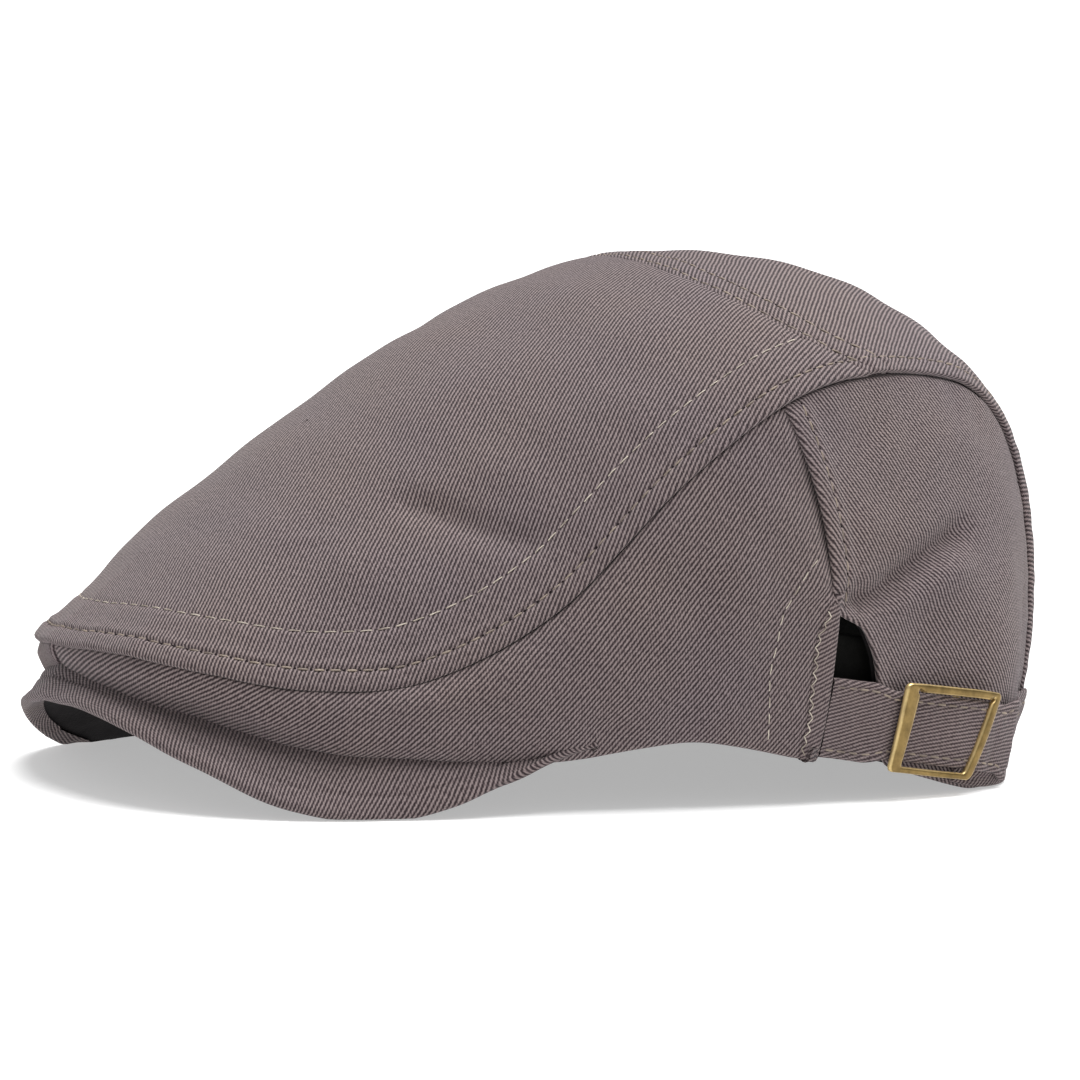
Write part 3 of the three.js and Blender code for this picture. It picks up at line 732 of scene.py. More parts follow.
topBase = settle(np.concatenate([mirrored(half[::-1]), half[1:]]))
topNormals = gridNormals(topBase, capCentre)
print("top panel laid out", topBase.shape)

# distances to its edges
seamLine = settle(np.concatenate([mirrored(crownPoint(np.linspace(8, 0, 200), 1.0)),
                                  crownPoint(np.linspace(0, 8, 200), 1.0)[1:]]))
crossLine = settle(crownPoint(crossSeamAt(np.linspace(-1, 1, 80)), np.linspace(-1, 1, 80)))
fromSeam, seamRun = nearLine(topBase, seamLine)
fromCross = nearLine(topBase, crossLine)[0]


def crownSettled(u, w):
    return settle(crownPoint(u, w))


def rowPath(grid, normals, rows, cols):
    return sampleGrid(grid, rows, cols), unit(sampleGrid(normals, rows, cols))


rows = np.arange(len(topBase), dtype=float)
edgeCols = levelLine(fromSeam, topPanel["stitchIn"])
innerCols = levelLine(fromSeam, topPanel["innerIn"])
edgeHoles = holesAlong(sampleGrid(topBase, rows, edgeCols), topPanel["stitchPitch"])
innerHoles = holesAlong(sampleGrid(topBase, rows, innerCols), topPanel["innerPitch"])


def edgeRelief(points, distance, run, spec, holes, seed):      # a folded edge with a row of stitches in it
    raised = spec["lift"] * (1 - ease(distance, spec["stitchIn"] - 0.3, spec["stitchIn"] + 3.5))
    ledge = spec["facing"] * (1 - ease(distance, spec["innerIn"] - 2, spec["innerIn"] + 3))
    groove = -spec["groove"] * bell(distance, spec["stitchIn"], 0.7)
    groove = groove - spec["innerGroove"] * bell(distance, spec["innerIn"], 0.9)
    puckers = spec["pucker"] * lineNoise(run, 11.0, seed) * np.exp(-np.abs(distance - 3) / 7)
    holesNear = np.abs(distance - spec["stitchIn"]) < 2.2
    return raised + ledge + groove + puckers + dimples(points, holes, 0.75, 0.45, holesNear)


relief = edgeRelief(topBase, fromSeam, seamRun, topPanel, edgeHoles, 3)
relief += dimples(topBase, innerHoles, 0.6, 0.2, np.abs(fromSeam - topPanel["innerIn"]) < 2)
relief += clothWaves(topBase, topPanel, 5, ease(fromSeam, 6, 30) * ease(fromCross, 3, 24),
                     ease(fromSeam, 2, 14) * ease(fromCross, 2, 12))
topFolds = [                      # (u, w) places, reach and depth in mm
    ([[3.85, 0.5], [4.2, 0.6], [4.55, 0.72], [4.88, 0.82], [5.1, 0.89]], 4.0, -2.1),
    ([[4.4, 0.5], [4.8, 0.62], [5.2, 0.74]], 6.0, 0.7),
    ([[3.2, 0.55], [3.5, 0.66], [3.9, 0.78], [4.2, 0.9]], 8.0, 0.8),
    ([[2.8, 0.46], [3.1, 0.51], [3.4, 0.56], [3.7, 0.61]], 1.8, 0.4),
    ([[5.4, -0.2], [5.6, 0.1], [5.7, 0.4], [5.6, 0.65]], 12.0, -0.8),
    ([[4.0, -0.7], [4.4, -0.76], [4.9, -0.82]], 6.0, -1.1),
]
for places, reach, depth in topFolds:
    relief += crease(topBase, crownSettled, places, reach, depth)
relief -= 0.25 * bell(fromCross, 0, 1.0)
relief += 0.2 * (1 - ease(fromCross, 3, 10))
topPoints = topBase + topNormals * relief[..., None]

# the cloth's own plane, so that the ribs run as they do on the real panel
ridgeArc = lengthAlong(crownPoint(np.linspace(0, 14, 400), 0.0))
lengthwise = np.interp(topU, np.linspace(0, 14, 400), ridgeArc)
seam, ridge = stationAt(topU)[:2]
crosswise = topW * np.hypot(seam[..., 0], ridge[..., 2] - seam[..., 2]) * 1.08
topUv = layFlat(topBase, topNormals, np.stack([lengthwise, crosswise], -1), topPanel["lay"], sewn=True)
sheet = {"points": topPoints, "normals": gridNormals(topPoints, capCentre), "uv": topUv}
topEdgePath = rowPath(topPoints, sheet["normals"], rows, edgeCols)
topInnerPath = rowPath(topPoints, sheet["normals"], rows, innerCols)
turnEdges(sheet, [("left", topPanel["rollRadius"], 2.5, 180, 5, 0.25), ("first", 0.8, 0, 90, 2),
                  ("last", 0.8, 0, 90, 2)])
lining = liningOf(topPoints, topNormals, cap["cloth"] + 0.4)
topCloth = makePanel("top_panel_cloth", [sheet, lining], [twill, liningAndPeakShade])
stitchRow(*topEdgePath, topPanel["stitchPitch"], "dark", 0.66, 0.25, 0.2, 0.3, hole=0.3)
stitchRow(*topInnerPath, topPanel["innerPitch"], "light", 0.74, 0.15, 0.28, hole=0.16)
print("top panel cut", len(topCloth.data.polygons))


# Side panels: one each side, from the front seam round to the side seam
sidePanel = {
    "tuck": 1.5, "tuckReach": 1.6,      # how far the cloth goes down under the top panel's edge
    "swell": 0.5, "hemRoll": 1.0, "pucker": 0.15,
    "softness": 0.45, "softWave": 40.0, "fineness": 0.15, "fineWave": 15.0,
    "frontSeam": 1.5, "frontReach": 1.9,    # the short seam at the middle of the front
    "brow": 3.0, "browAt": 0.95, "browReach": 0.75,     # it stands out at the corners of the forehead
    "underlap": 0.14, "openTop": 0.42,  # it runs on under the quarter panel, but for the opening at its foot
    "lay": {"place": (79.0, 10.0, 45.0), "plane": (-0.392, -0.715, 0.579)},
    "twist": [[0, 20], [2.5, 14], [3.3, 6], [5, 0], [5.8, -2], [6.4, -6], [7.2, -6]],   # degrees by station
}


def wallOn(right):               # the settled wall of one side of the head
    side = mirrored if right else (lambda p: p)
    return lambda u, t: settle(side(wallPoint(u, t)))


def endDense(count, share, extra):             # 0 to 1, with more steps at both ends
    ends = np.linspace(0, share, extra + 1)
    return np.unique(np.concatenate([ends, np.linspace(share, 1 - share, count), 1 - ends]))


def wallStart(u, t):             # a first guess of the flat pattern
    seam, ridge, hem = stationAt(u)[:3]
    return np.stack([u * cap["stationStride"], np.linalg.norm(seam - hem, axis=-1) * t], -1)


def otherSide(lay):              # the same twill on the wearer's right, so not mirrored
    return {"place": np.array(lay["place"]) * [-1, 1, 1], "plane": np.array(lay["plane"]) * [-1, -1, 1]}


def buildSide(name, right, folds, seed):
    a = evenPlaces(lambda u: wallPoint(u, 0.6), 0, 7.1, cap["step"]) / 7.1
    t = endDense(72, 0.035, 6)
    lapped = ease(t, sidePanel["openTop"], sidePanel["openTop"] + 0.06)
    u = a[:, None] * sideSeamAt(t)[None] * 0.999 + 0.004
    u = u + sidePanel["underlap"] * lapped[None] * ease(a, 0.9, 1)[:, None]
    heights = t
    t = np.broadcast_to(t, u.shape)
    surface = wallOn(right)
    base = surface(u, t)
    normals = gridNormals(base, capCentre)
    fromTop, run = nearLine(base, surface(np.linspace(0, 7.3, 240), 1.0))
    fromHem = nearLine(base, surface(np.linspace(0, 7.3, 240), 0.0))[0]
    relief = -sidePanel["tuck"] * (1 - ease(fromTop, 0.2, sidePanel["tuckReach"]))
    relief -= sidePanel["frontSeam"] * (1 - ease(np.abs(base[..., 0]), 0.2, sidePanel["frontReach"]))
    brow = sidePanel["brow"] * bell(u, sidePanel["browAt"], sidePanel["browReach"])
    relief += brow * mix(0.4, 1, 1 - t) * ease(fromTop, 0.6, 4)
    past = (u - sideSeamAt(t)) * cap["stationStride"]
    relief -= 0.9 * ease(past, -3.0, 0.5) * lapped[None]
    relief += sidePanel["swell"] * bell(fromTop, 7, 5) * ease(fromHem, 2, 14)
    pucker = sidePanel["pucker"] * lineNoise(run, 13.0, seed) * np.exp(-fromTop / 8)
    relief += pucker * ease(fromHem, 1, 8) * ease(fromTop, 1, 3)
    room = ease(fromTop, 3, 20) * ease(fromHem, 3, 20)
    relief += clothWaves(base, sidePanel, seed + 1, room, ease(fromTop, 2, 12))
    for places, reach, depth in folds:
        relief += crease(base, surface, places, reach, depth)
    if not right:                # a groove where the facing of the opening ends
        free = np.linspace(0.0, sidePanel["openTop"], 30)
        fromEdge = nearLine(base, surface(sideSeamAt(free), free))[0]
        relief -= 0.3 * bell(fromEdge, 4.6, 0.7)
    points = base + normals * relief[..., None]
    lay = otherSide(sidePanel["lay"]) if right else sidePanel["lay"]
    twist = np.radians(readTable(sidePanel["twist"], 1, u)) * (-1 if right else 1)
    uv = layFlat(base, normals, wallStart(u, t), lay, twist=twist)
    sheet = {"points": points, "normals": gridNormals(points, capCentre), "uv": uv}
    result = dict(heights=heights, shares=a, points=points, normals=sheet["normals"], uv=uv)
    # the rows that the hem and the top edge add come before and after the others
    thin = np.concatenate([lapped[:1].repeat(6), lapped, lapped[-1:].repeat(2)])[:, None]
    turnEdges(sheet, [("left", sidePanel["hemRoll"], 4.0, 180, 5), ("right", 0.8, 0, 90, 2),
                      ("first", 0.5, 1.0, 90, 3), ("last", mix(0.95, 0.15, thin), 3.0, 180, 5)])
    lining = liningOf(points, normals, cap["cloth"])
    result["piece"] = makePanel(name, [sheet, lining], [twill, liningAndPeakShade])
    return result


leftFolds = [                      # (u, t) places, reach and depth in mm
    ([[2.6, 0.45], [3.4, 0.5], [4.2, 0.42], [4.9, 0.3]], 4.5, -0.9),
    ([[3.0, 0.15], [3.8, 0.2], [4.6, 0.14]], 4.5, 0.7),
    ([[5.2, 0.0], [5.35, 0.12], [5.6, 0.25]], 6.0, -0.9),
    ([[6.2, 0.2], [6.35, 0.45], [6.5, 0.7]], 8.0, 0.9),
    ([[5.4, 0.75], [5.9, 0.6], [6.4, 0.4]], 7.0, -0.7),
]
rightFolds = [
    ([[2.8, 0.45], [3.6, 0.5], [4.4, 0.4]], 5.0, -0.9),
    ([[5.3, 0.2], [5.8, 0.45], [6.2, 0.7]], 8.0, 0.9),
    ([[4.6, 0.6], [5.6, 0.5], [6.6, 0.3]], 7.0, -0.8),
]
leftSide = buildSide("side_panel_left_cloth", False, leftFolds, 21)
rightSide = buildSide("side_panel_right_cloth", True, rightFolds, 31)
print("side panels cut")


# Facing round the side panel's free edge at the opening, with a zigzag in light thread
facing = {
    "width": [[0, 3.9], [0.1, 4.4], [0.25, 5.0], [0.35, 4.8], [0.4, 2.6], [0.43, 2.2]],     # mm by height
    "top": 0.425, "lift": 0.3, "grain": 28.0, "zigPitch": 1.5, "zigReach": 0.55, "guidePitch": 3.9,
    # the row of light stitches beside it, as (u, t) places
    "guide": [[7.04, 0.56], [6.92, 0.522], [6.75, 0.421], [6.69, 0.327], [6.63, 0.245], [6.62, 0.157],
              [6.62, 0.02]],
}
side = leftSide
last = len(side["points"]) - 1
colsOf = np.arange(side["points"].shape[1], dtype=float)
rowStep = np.linalg.norm(np.diff(side["points"][-7:], axis=0), axis=-1).mean(0)
facingCols = np.linspace(0, np.interp(facing["top"], side["heights"], colsOf), 60)
width = readTable(facing["width"], 1, np.interp(facingCols, colsOf, side["heights"]))
rowsIn = width / np.interp(facingCols, colsOf, rowStep)
share = np.linspace(1, 0, 7)
i, j = last - share[:, None] * rowsIn[None], np.broadcast_to(facingCols, (len(share), len(facingCols)))
onGrid = lambda data: sampleGrid(data, i.ravel(), j.ravel()).reshape(i.shape + (data.shape[-1],))
facingPoints, facingWay, facingUv = onGrid(side["points"]), unit(onGrid(side["normals"])), onGrid(side["uv"])
facingPoints = facingPoints + facingWay * facing["lift"]
turn = math.radians(facing["grain"])
facingUv = np.stack([facingUv[..., 0] * math.cos(turn) - facingUv[..., 1] * math.sin(turn),
                     facingUv[..., 0] * math.sin(turn) + facingUv[..., 1] * math.cos(turn)], -1)
innerEdge, innerWay = facingPoints[0], facingWay[0]
arc = lengthAlong(innerEdge)
s = np.arange(0.4, arc[-1] - 0.4, facing["zigPitch"])
inward = unit(facingPoints[1] - facingPoints[0])
count = np.arange(len(s))
reach = facing["zigReach"] * (1 + 0.35 * np.sin(2.3 * count))
zig = readLine(innerEdge, arc, s) + readLine(inward, arc, s) * (reach * (-1.0) ** count + 0.3)[:, None]
threads["light"].append((zig[:-1], zig[1:], readLine(innerWay, arc, s)[:-1], 0.14, 0.15))
sheet = {"points": facingPoints, "normals": facingWay, "uv": facingUv}
turnEdges(sheet, [("first", 0.18, 0.2, 120, 3), ("last", 1.1, 2.5, 180, 5), ("left", 1.2, 2.5, 180, 5),
                  ("right", 0.2, 0.2, 120, 3)])
openingFacing = makePanel("opening_facing", [sheet], [edgeTwill])
guideU, guideT = readCurve(np.array(facing["guide"]), [], np.linspace(0, 6, 80)).T
i = np.interp(guideU / sideSeamAt(guideT), side["shares"], np.arange(last + 1))
j = np.interp(guideT, side["heights"], colsOf)
guideRow = rowPath(side["points"], side["normals"], i, j)
stitchRow(*guideRow, facing["guidePitch"], "light", 0.7, 0.15, 0.25, hole=0.16)
print("opening faced")


# Quarter panels behind the side seams; the left one is cut back for the adjuster
quarterPanel = {
    "lift": 0.85, "stitchIn": 3.4, "stitchPitch": 3.8, "groove": 0.4,
    "roll": 0.9, "cutRoll": 0.8, "pucker": 0.15, "lap": 0.017,
    "softness": 0.6, "softWave": 38.0, "fineness": 0.15, "fineWave": 15.0,
    "lay": {"place": (68.0, 75.0, 55.0), "plane": (-0.287, -0.797, -0.532)},
    # the lower edge from front to back, as (share, u, t)
    "cut": [[0, 7.27, 0.41], [0.06, 7.6, 0.37], [0.12, 7.79, 0.28], [0.18, 7.88, 0.15], [0.24, 7.98, 0],
            [1, 13.62, 0]],
    "whole": [[0, 7.11, 0], [1, 13.62, 0]],
}


def frontDense(few, many):       # 0 to 1, with more steps in the first twentieth
    return np.unique(np.concatenate([np.linspace(0, 0.05, few), np.linspace(0.05, 1, many)]))


def soften(v, size=31):          # rounds the corners of an evenly read line, and keeps its ends
    window = np.hanning(size) / np.hanning(size).sum()
    half = size // 2
    padded = np.concatenate([2 * v[0] - v[half:0:-1], v, 2 * v[-1] - v[-2:-half - 2:-1]])
    return np.convolve(padded, window, "valid")


def buildQuarter(name, right, folds, seed):
    q = quarterPanel
    a = frontDense(12, 118)
    b = endDense(76, 0.05, 8)
    fine = np.linspace(0, 1, 500)
    station, rise = (soften(readTable(q["whole" if right else "cut"], k, fine)) for k in (1, 2))
    station, rise = np.interp(a, fine, station), np.interp(a, fine, np.maximum(rise, 0))
    level = mix(rise[:, None], 1.0, b[None])
    seamPlace = sideSeamAt(level) + q["lap"]
    straight = mix(station[:, None], mix(7.02, 13.62, a)[:, None], b[None])
    u = straight + (seamPlace[:1] - straight[:1]) * (1 - ease(a, 0, 0.3))[:, None]
    surface = wallOn(right)
    base = surface(u, level)
    normals = gridNormals(base, capCentre)
    levels = np.linspace(level[0, 0], 1.0, 80)
    fromFront = nearLine(base, surface(sideSeamAt(levels) + q["lap"], levels))[0]
    fromCut = nearLine(base, surface(station, rise))[0]
    fromTop, topRun = nearLine(base, surface(np.linspace(7, 13.7, 200), 1.0))
    rowsOf = np.arange(base.shape[1], dtype=float)
    cols = levelLine(fromFront.T, q["stitchIn"])
    keep = (level[0] > level[0, 0] + 0.02) & (level[0] < 0.985)
    holes = holesAlong(sampleGrid(base.swapaxes(0, 1), rowsOf[keep], cols[keep]), q["stitchPitch"])
    relief = q["lift"] * (1 - ease(fromFront, 3.0, 7.0)) * ease(fromTop, 0.5, 5)
    relief += -q["groove"] * bell(fromFront, q["stitchIn"], 0.7) * ease(fromTop, 2, 5)
    relief += dimples(base, holes, 0.7, 0.35, np.abs(fromFront - q["stitchIn"]) < 2)
    relief += -sidePanel["tuck"] * (1 - ease(fromTop, 0.2, sidePanel["tuckReach"]))
    relief += q["pucker"] * lineNoise(topRun, 12.0, seed) * np.exp(-fromTop / 7) * ease(fromTop, 1, 3)
    relief += 0.3 * bell(fromCut, 1.0, 2.0)
    room = ease(fromTop, 3, 18) * ease(fromCut, 3, 18) * ease(fromFront, 3, 16)
    relief += clothWaves(base, q, seed + 1, room, room)
    for places, reach, depth in folds:
        relief += crease(base, surface, places, reach, depth)
    points = base + normals * relief[..., None]
    uv = layFlat(base, normals, wallStart(u, level), otherSide(q["lay"]) if right else q["lay"])
    sheet = {"points": points, "normals": gridNormals(points, capCentre), "uv": uv}
    stitched = rowPath(points.swapaxes(0, 1), sheet["normals"].swapaxes(0, 1), rowsOf[keep], cols[keep])
    stitchRow(*stitched, q["stitchPitch"], cover=0.66, start=0.3)
    turnEdges(sheet, [("first", q["roll"], 3.0, 180, 5, 0.3), ("last", 0.8, 1.0, 90, 2),
                      ("left", q["cutRoll"], 4.0, 180, 5), ("right", 0.8, 0, 90, 2)])
    lining = liningOf(points, normals, cap["cloth"] + 0.8, 2)
    return makePanel(name, [sheet, lining], [twill, liningAndPeakShade])


quarterFolds = [
    ([[7.2, 0.44], [7.52, 0.43], [7.91, 0.45], [8.26, 0.516], [8.7, 0.597], [9.15, 0.66]], 3.2, -3.2),
    ([[7.5, 0.55], [7.8, 0.6], [8.2, 0.68]], 6.0, 0.7),
    ([[7.9, 0.36], [8.3, 0.44], [8.8, 0.53], [9.2, 0.58]], 4.0, 1.5),
    ([[9.4, 0.15], [9.6, 0.4], [9.7, 0.65]], 9.0, 0.7),
]
quarterRightFolds = [
    ([[7.6, 0.3], [8.2, 0.5], [8.8, 0.65]], 8.0, -1.0),
    ([[9.2, 0.2], [9.6, 0.45], [9.9, 0.7]], 9.0, 0.8),
]
leftQuarter = buildQuarter("quarter_panel_left_cloth", False, quarterFolds, 41)
rightQuarter = buildQuarter("quarter_panel_right_cloth", True, quarterRightFolds, 51)
print("quarter panels cut")


# Back panel: from the cross seam over the crown and down the back
backPanel = {
    "roll": 0.9, "lift": 0.7, "stitchIn": 3.6, "stitchPitch": 3.8, "groove": 0.4,
    "innerIn": 13.2, "innerGroove": 0.0, "facing": 0.2, "pucker": 0.12,
    "crossRows": [1.6, 7.4], "crossPitch": 4.0,         # two rows behind the cross seam
    "softness": 0.28, "softWave": 48.0, "fineness": 0.15, "fineWave": 15.0,
    "lay": {"place": (40.0, 85.0, 105.0), "plane": (-0.397, -0.735, 0.550)},
}
a = frontDense(14, 150)
b = endDense(110, 0.04, 8)
w = 2 * b - 1
u = mix(crossSeamAt(w)[None], cap["lastStation"] - 0.02, a[:, None])
w = np.broadcast_to(w, u.shape)
backBase = settle(crownPoint(u, w))
backNormals = gridNormals(backBase, capCentre)
backSeam = [settle(crownPoint(np.linspace(7.9, 14, 160), s)) for s in (1.0, -1.0)]
fromLeft, leftRun = nearLine(backBase, backSeam[0])
fromRight, rightRun = nearLine(backBase, backSeam[1])
fromSide = np.minimum(fromLeft, fromRight)
sideRun = np.where(fromLeft < fromRight, leftRun, rightRun + 300)
fromCross = nearLine(backBase, crossLine)[0]
rows = np.arange(len(backBase), dtype=float)
leftCols = levelLine(fromRight, backPanel["stitchIn"])
rightCols = backBase.shape[1] - 1 - levelLine(fromLeft[:, ::-1], backPanel["stitchIn"])
holes = np.concatenate([holesAlong(sampleGrid(backBase, rows, cols), backPanel["stitchPitch"])
                        for cols in (leftCols, rightCols)])
relief = edgeRelief(backBase, fromSide, sideRun, backPanel, holes, 61)
relief += clothWaves(backBase, backPanel, 62, ease(fromSide, 6, 24) * ease(fromCross, 4, 20),
                     ease(fromSide, 3, 12))
relief += 0.35 * (1 - ease(fromCross, 7.6, 12))
colsOf = np.arange(backBase.shape[1], dtype=float)
crossPaths = []
for inFrom in backPanel["crossRows"]:
    crossRows = levelLine(fromCross.T, inFrom)
    crossHoles = holesAlong(sampleGrid(backBase, crossRows, colsOf), backPanel["crossPitch"])
    relief += -0.3 * bell(fromCross, inFrom, 0.8)
    relief += dimples(backBase, crossHoles, 0.7, 0.3, np.abs(fromCross - inFrom) < 2)
    crossPaths.append(crossRows)
relief -= 0.3 * bell(fromCross, 0, 0.7)
backPoints = backBase + backNormals * relief[..., None]
lengthwise = np.interp(u, np.linspace(0, 14, 400), ridgeArc)
crosswise = crownPoint(u, w)[..., 0] * 1.15
backUv = layFlat(backBase, backNormals, np.stack([lengthwise, crosswise], -1), backPanel["lay"])
sheet = {"points": backPoints, "normals": gridNormals(backPoints, capCentre), "uv": backUv}
for cols in (leftCols, rightCols):
    stitchRow(*rowPath(backPoints, sheet["normals"], rows, cols), backPanel["stitchPitch"])
for crossRows in crossPaths:
    crossPath = rowPath(backPoints, sheet["normals"], crossRows, colsOf)
    stitchRow(*crossPath, backPanel["crossPitch"], radius=0.22)
turnEdges(sheet, [(side, backPanel["roll"], 2.5, 180, 5, 0.2) for side in ("left", "right")])
turnEdges(sheet, [("first", 0.7, 0, 90, 2), ("last", 1.0, 4.0, 180, 5)])
lining = liningOf(backPoints, backNormals, cap["cloth"] + 0.4)
backCloth = makePanel("back_panel_cloth", [sheet, lining], [twill, liningAndPeakShade])
print("back panel cut")


# Peak: a stiff board in a cover, from temple to temple
peak = {
    "endStation": 5.36, "edgeGap": 0.4,
    "rim": 4.0, "rimLift": 0.25, "rimGroove": 0.4, "edgeRadius": 1.5, "underStrip": 3.8, "underDepth": 1.8,
    "rimUneven": 0.1, "softness": 0.22, "softWave": 34.0,
    # how the edge is bent back and down at the front, by station, in mm
    "bend": [[-3.4, 0, 0], [-2.6, -0.8, 0.2], [-2.2, -1.5, 0.1], [-1.8, -1.2, -0.6], [-1.4, 0.1, -1.4],
             [-1, 1.2, -2.4], [-0.6, 1.8, -2.8], [-0.3, 1.9, -2.6], [0, 2, -2], [0.3, 1.8, -0.9],
             [0.6, 1, -0.2], [1, 0, 0]],
    "farRoll": 3.4, "farRollAt": (0.82, -0.75), "farRollReach": (0.24, 0.9),      # a swelling near the rim
    "tuckIn": 3.0, "tuckUp": 2.8,       # how far its ends go in and up at the temples
    "lay": {"place": (70.0, -60.0, 3.0), "plane": (-0.407, -0.779, 0.476)},
    "twist": [[-5.4, -45], [0, -45], [1.9, -17], [2.8, 5], [3.8, 29], [5.4, 45]],       # degrees by station
}
head = {"centreY": 14.04, "forehead": 2.2, "nape": 2.5,        # the opening, rounder in front than behind
        "halfWidth": 0.988 * cap["halfWidth"] - cap["cloth"] - 1.04,
        "halfLength": 0.954 * cap["halfLength"] - cap["cloth"] - 1.46 - 14.04}
peakRays = np.array([              # outX outY outZ, then the rear edge as a share of the head opening, inZ
    [0, -1.042, 0.19, 1.004, 0.282],
    [0.41, -0.99, 0.172, 0.976, 0.27],
    [0.685, -0.878, 0.104, 0.924, 0.25],
    [0.85, -0.72, 0.03, 0.821, 0.208],
    [0.925, -0.515, 0.01, 0.657, 0.138],
    [0.98, -0.246, 0.086, 0.419, 0.102],
    [1.01, 0.04, 0.14, 0.073, 0.135],
])


def headWidthAt(y):
    bend = np.where(y < head["centreY"], head["forehead"], head["nape"])
    share = np.clip(np.abs(y - head["centreY"]) / head["halfLength"], 0, 1)
    return head["halfWidth"] * (1 - share ** bend) ** (1 / bend)


def peakPoint(u, t):
    u, t = np.broadcast_arrays(np.asarray(u, float), np.asarray(t, float))
    r = readCurve(peakRays, [0], u)
    inY = head["centreY"] - head["halfLength"] * np.minimum(1, r[..., 3]) - peak["edgeGap"]
    inX = (headWidthAt(inY + peak["edgeGap"]) + peak["edgeGap"]) * ease(u * 2.2)
    outer = r[..., :3] * np.array([cap["halfWidth"], cap["halfLength"], cap["crownHeight"]])
    join = wallPoint(u, 0.0) - np.array([0, 0, 0.38])
    inner = np.stack([inX, inY, r[..., 4] * cap["crownHeight"]], -1)
    near, far = (np.linalg.norm(v, axis=-1) for v in (inner - join, join - outer))
    m = (near / (near + far))[..., None]
    t = t[..., None]
    return (inner * ((t - m) * (t - 1) / m) + join * (t * (t - 1) / (m * (m - 1)))
            + outer * (t * (t - m) / (1 - m)))


def peakPlaced(v, t):              # v is the station, negative on the wearer's right
    v, t = np.broadcast_arrays(np.asarray(v, float), np.asarray(t, float))
    p = peakPoint(np.abs(v), t)
    p[..., 0] *= np.sign(v) + (v == 0)
    p = settle(p)
    reach = ease(t, 0.45, 1)
    window = np.linspace(-0.3, 0.3, 7)             # the given table, smoothed
    bendY, bendZ = (np.mean([readTable(peak["bend"], k, v + w) for w in window], axis=0) for k in (1, 2))
    temple = ease(np.abs(v), 4.4, 5.3)
    p[..., 0] -= np.sign(v) * peak["tuckIn"] * temple
    p[..., 1] += bendY * reach
    p[..., 2] += bendZ * reach + peak["tuckUp"] * temple
    return p


v = evenPlaces(lambda s: peakPlaced(s, 1.0), -peak["endStation"], peak["endStation"], cap["step"])
t = 1 - np.array([0, 0.008, 0.016, 0.025, 0.034, 0.043, 0.052, 0.06, 0.07, 0.082, 0.1])
t = np.unique(np.concatenate([t, np.linspace(0, 0.9, 56)]))
vGrid, tGrid = np.meshgrid(v, t, indexing="ij")
peakBase = peakPlaced(vGrid, tGrid)
peakNormals = gridNormals(peakBase, np.array([0, -60, -60.0]))
outerLine = peakPlaced(np.linspace(-peak["endStation"], peak["endStation"], 300), 1.0)
fromRim, rimRun = nearLine(peakBase, outerLine)
relief = peak["rimLift"] * (1 - ease(fromRim, peak["rim"] - 0.4, peak["rim"] + 0.5))
relief -= peak["rimGroove"] * bell(fromRim, peak["rim"] + 0.2, 0.55)
relief += peak["rimUneven"] * lineNoise(rimRun, 22.0, 71) * np.exp(-fromRim / 9)
relief += peak["softness"] * softNoise(peakBase, peak["softWave"], 72) * ease(fromRim, 3, 14)
swelling = [bell(*form) for form in zip((tGrid, vGrid), peak["farRollAt"], peak["farRollReach"])]
relief += peak["farRoll"] * swelling[0] * swelling[1] * (1 - 0.7 * ease(tGrid, 0.85, 1.0))
peakTop = peakBase + peakNormals * relief[..., None]
twist = np.radians(readTable(peak["twist"], 1, vGrid))
start = np.stack([vGrid * cap["stationStride"], tGrid * 40], -1)
peakUv = layFlat(peakBase, peakNormals, start, peak["lay"], twist=twist)
temple = ease(np.abs(vGrid), 4.3, 5.3)
depth = (peak["underDepth"] * (1 - 0.5 * temple))[..., None]
down = unit(mix(np.array([0, 0, 1.0]), peakNormals, (ease(tGrid * 1.5) * (1 - temple))[..., None]))
peakFloor = peakBase - down * depth
upper = {"points": peakTop, "normals": peakNormals, "uv": peakUv}
rimRadius = peak["edgeRadius"] * (1 - 0.5 * temple[:, :1])
turnEdges(upper, [("right", rimRadius, peak["underStrip"], 180, 7), ("left", 1.2, 0, 90, 2),
                  ("first", 1.0, 1.0, 180, 4), ("last", 1.0, 1.0, 180, 4)])
under = slice(0, -8, 2)            # the dark lining, which stands for painted shade under the peak, stops under the turned-in strip
lower = {"points": peakFloor[:, under], "normals": -peakNormals[:, under], "uv": peakUv[:, under]}
peakCloth = makePanel("peak_cover", [upper, lower], [twill, liningAndPeakShade])
print("peak covered")


# Sweatband: a dark band round the inside of the head opening
sweatband = {
    "height": 28.0, "thickness": 1.2, "lean": 8.0, "ripple": 0.25,
    "edge": [[-1, 0.255], [-0.92, 0.222], [-0.825, 0.18], [-0.66, 0.11], [-0.423, 0.092], [-0.144, 0.133],
             [-0.02, 0.138], [0.227, 0.097], [0.454, 0.07], [0.71, 0.016], [0.845, 0.007], [1, 0.007]],
}


def bandPoint(share, height, depth):
    angle = share * 2 * math.pi
    c, s = np.cos(angle), np.sin(angle)
    bend = np.where(c > 0, head["forehead"], head["nape"])
    sine = np.sign(s) * np.abs(s) ** (2 / bend)
    cosine = np.sign(c) * np.abs(c) ** (2 / bend)
    inward = depth + height * (1.5 + ease((cosine + 0.4) / 1.4) * sweatband["lean"])
    x = (head["halfWidth"] - inward) * sine
    y = head["centreY"] - (head["halfLength"] - inward) * cosine
    low = readTable(sweatband["edge"], 1, -cosine) * cap["crownHeight"]
    return settle(np.stack([x, y, low + height * sweatband["height"]], -1))


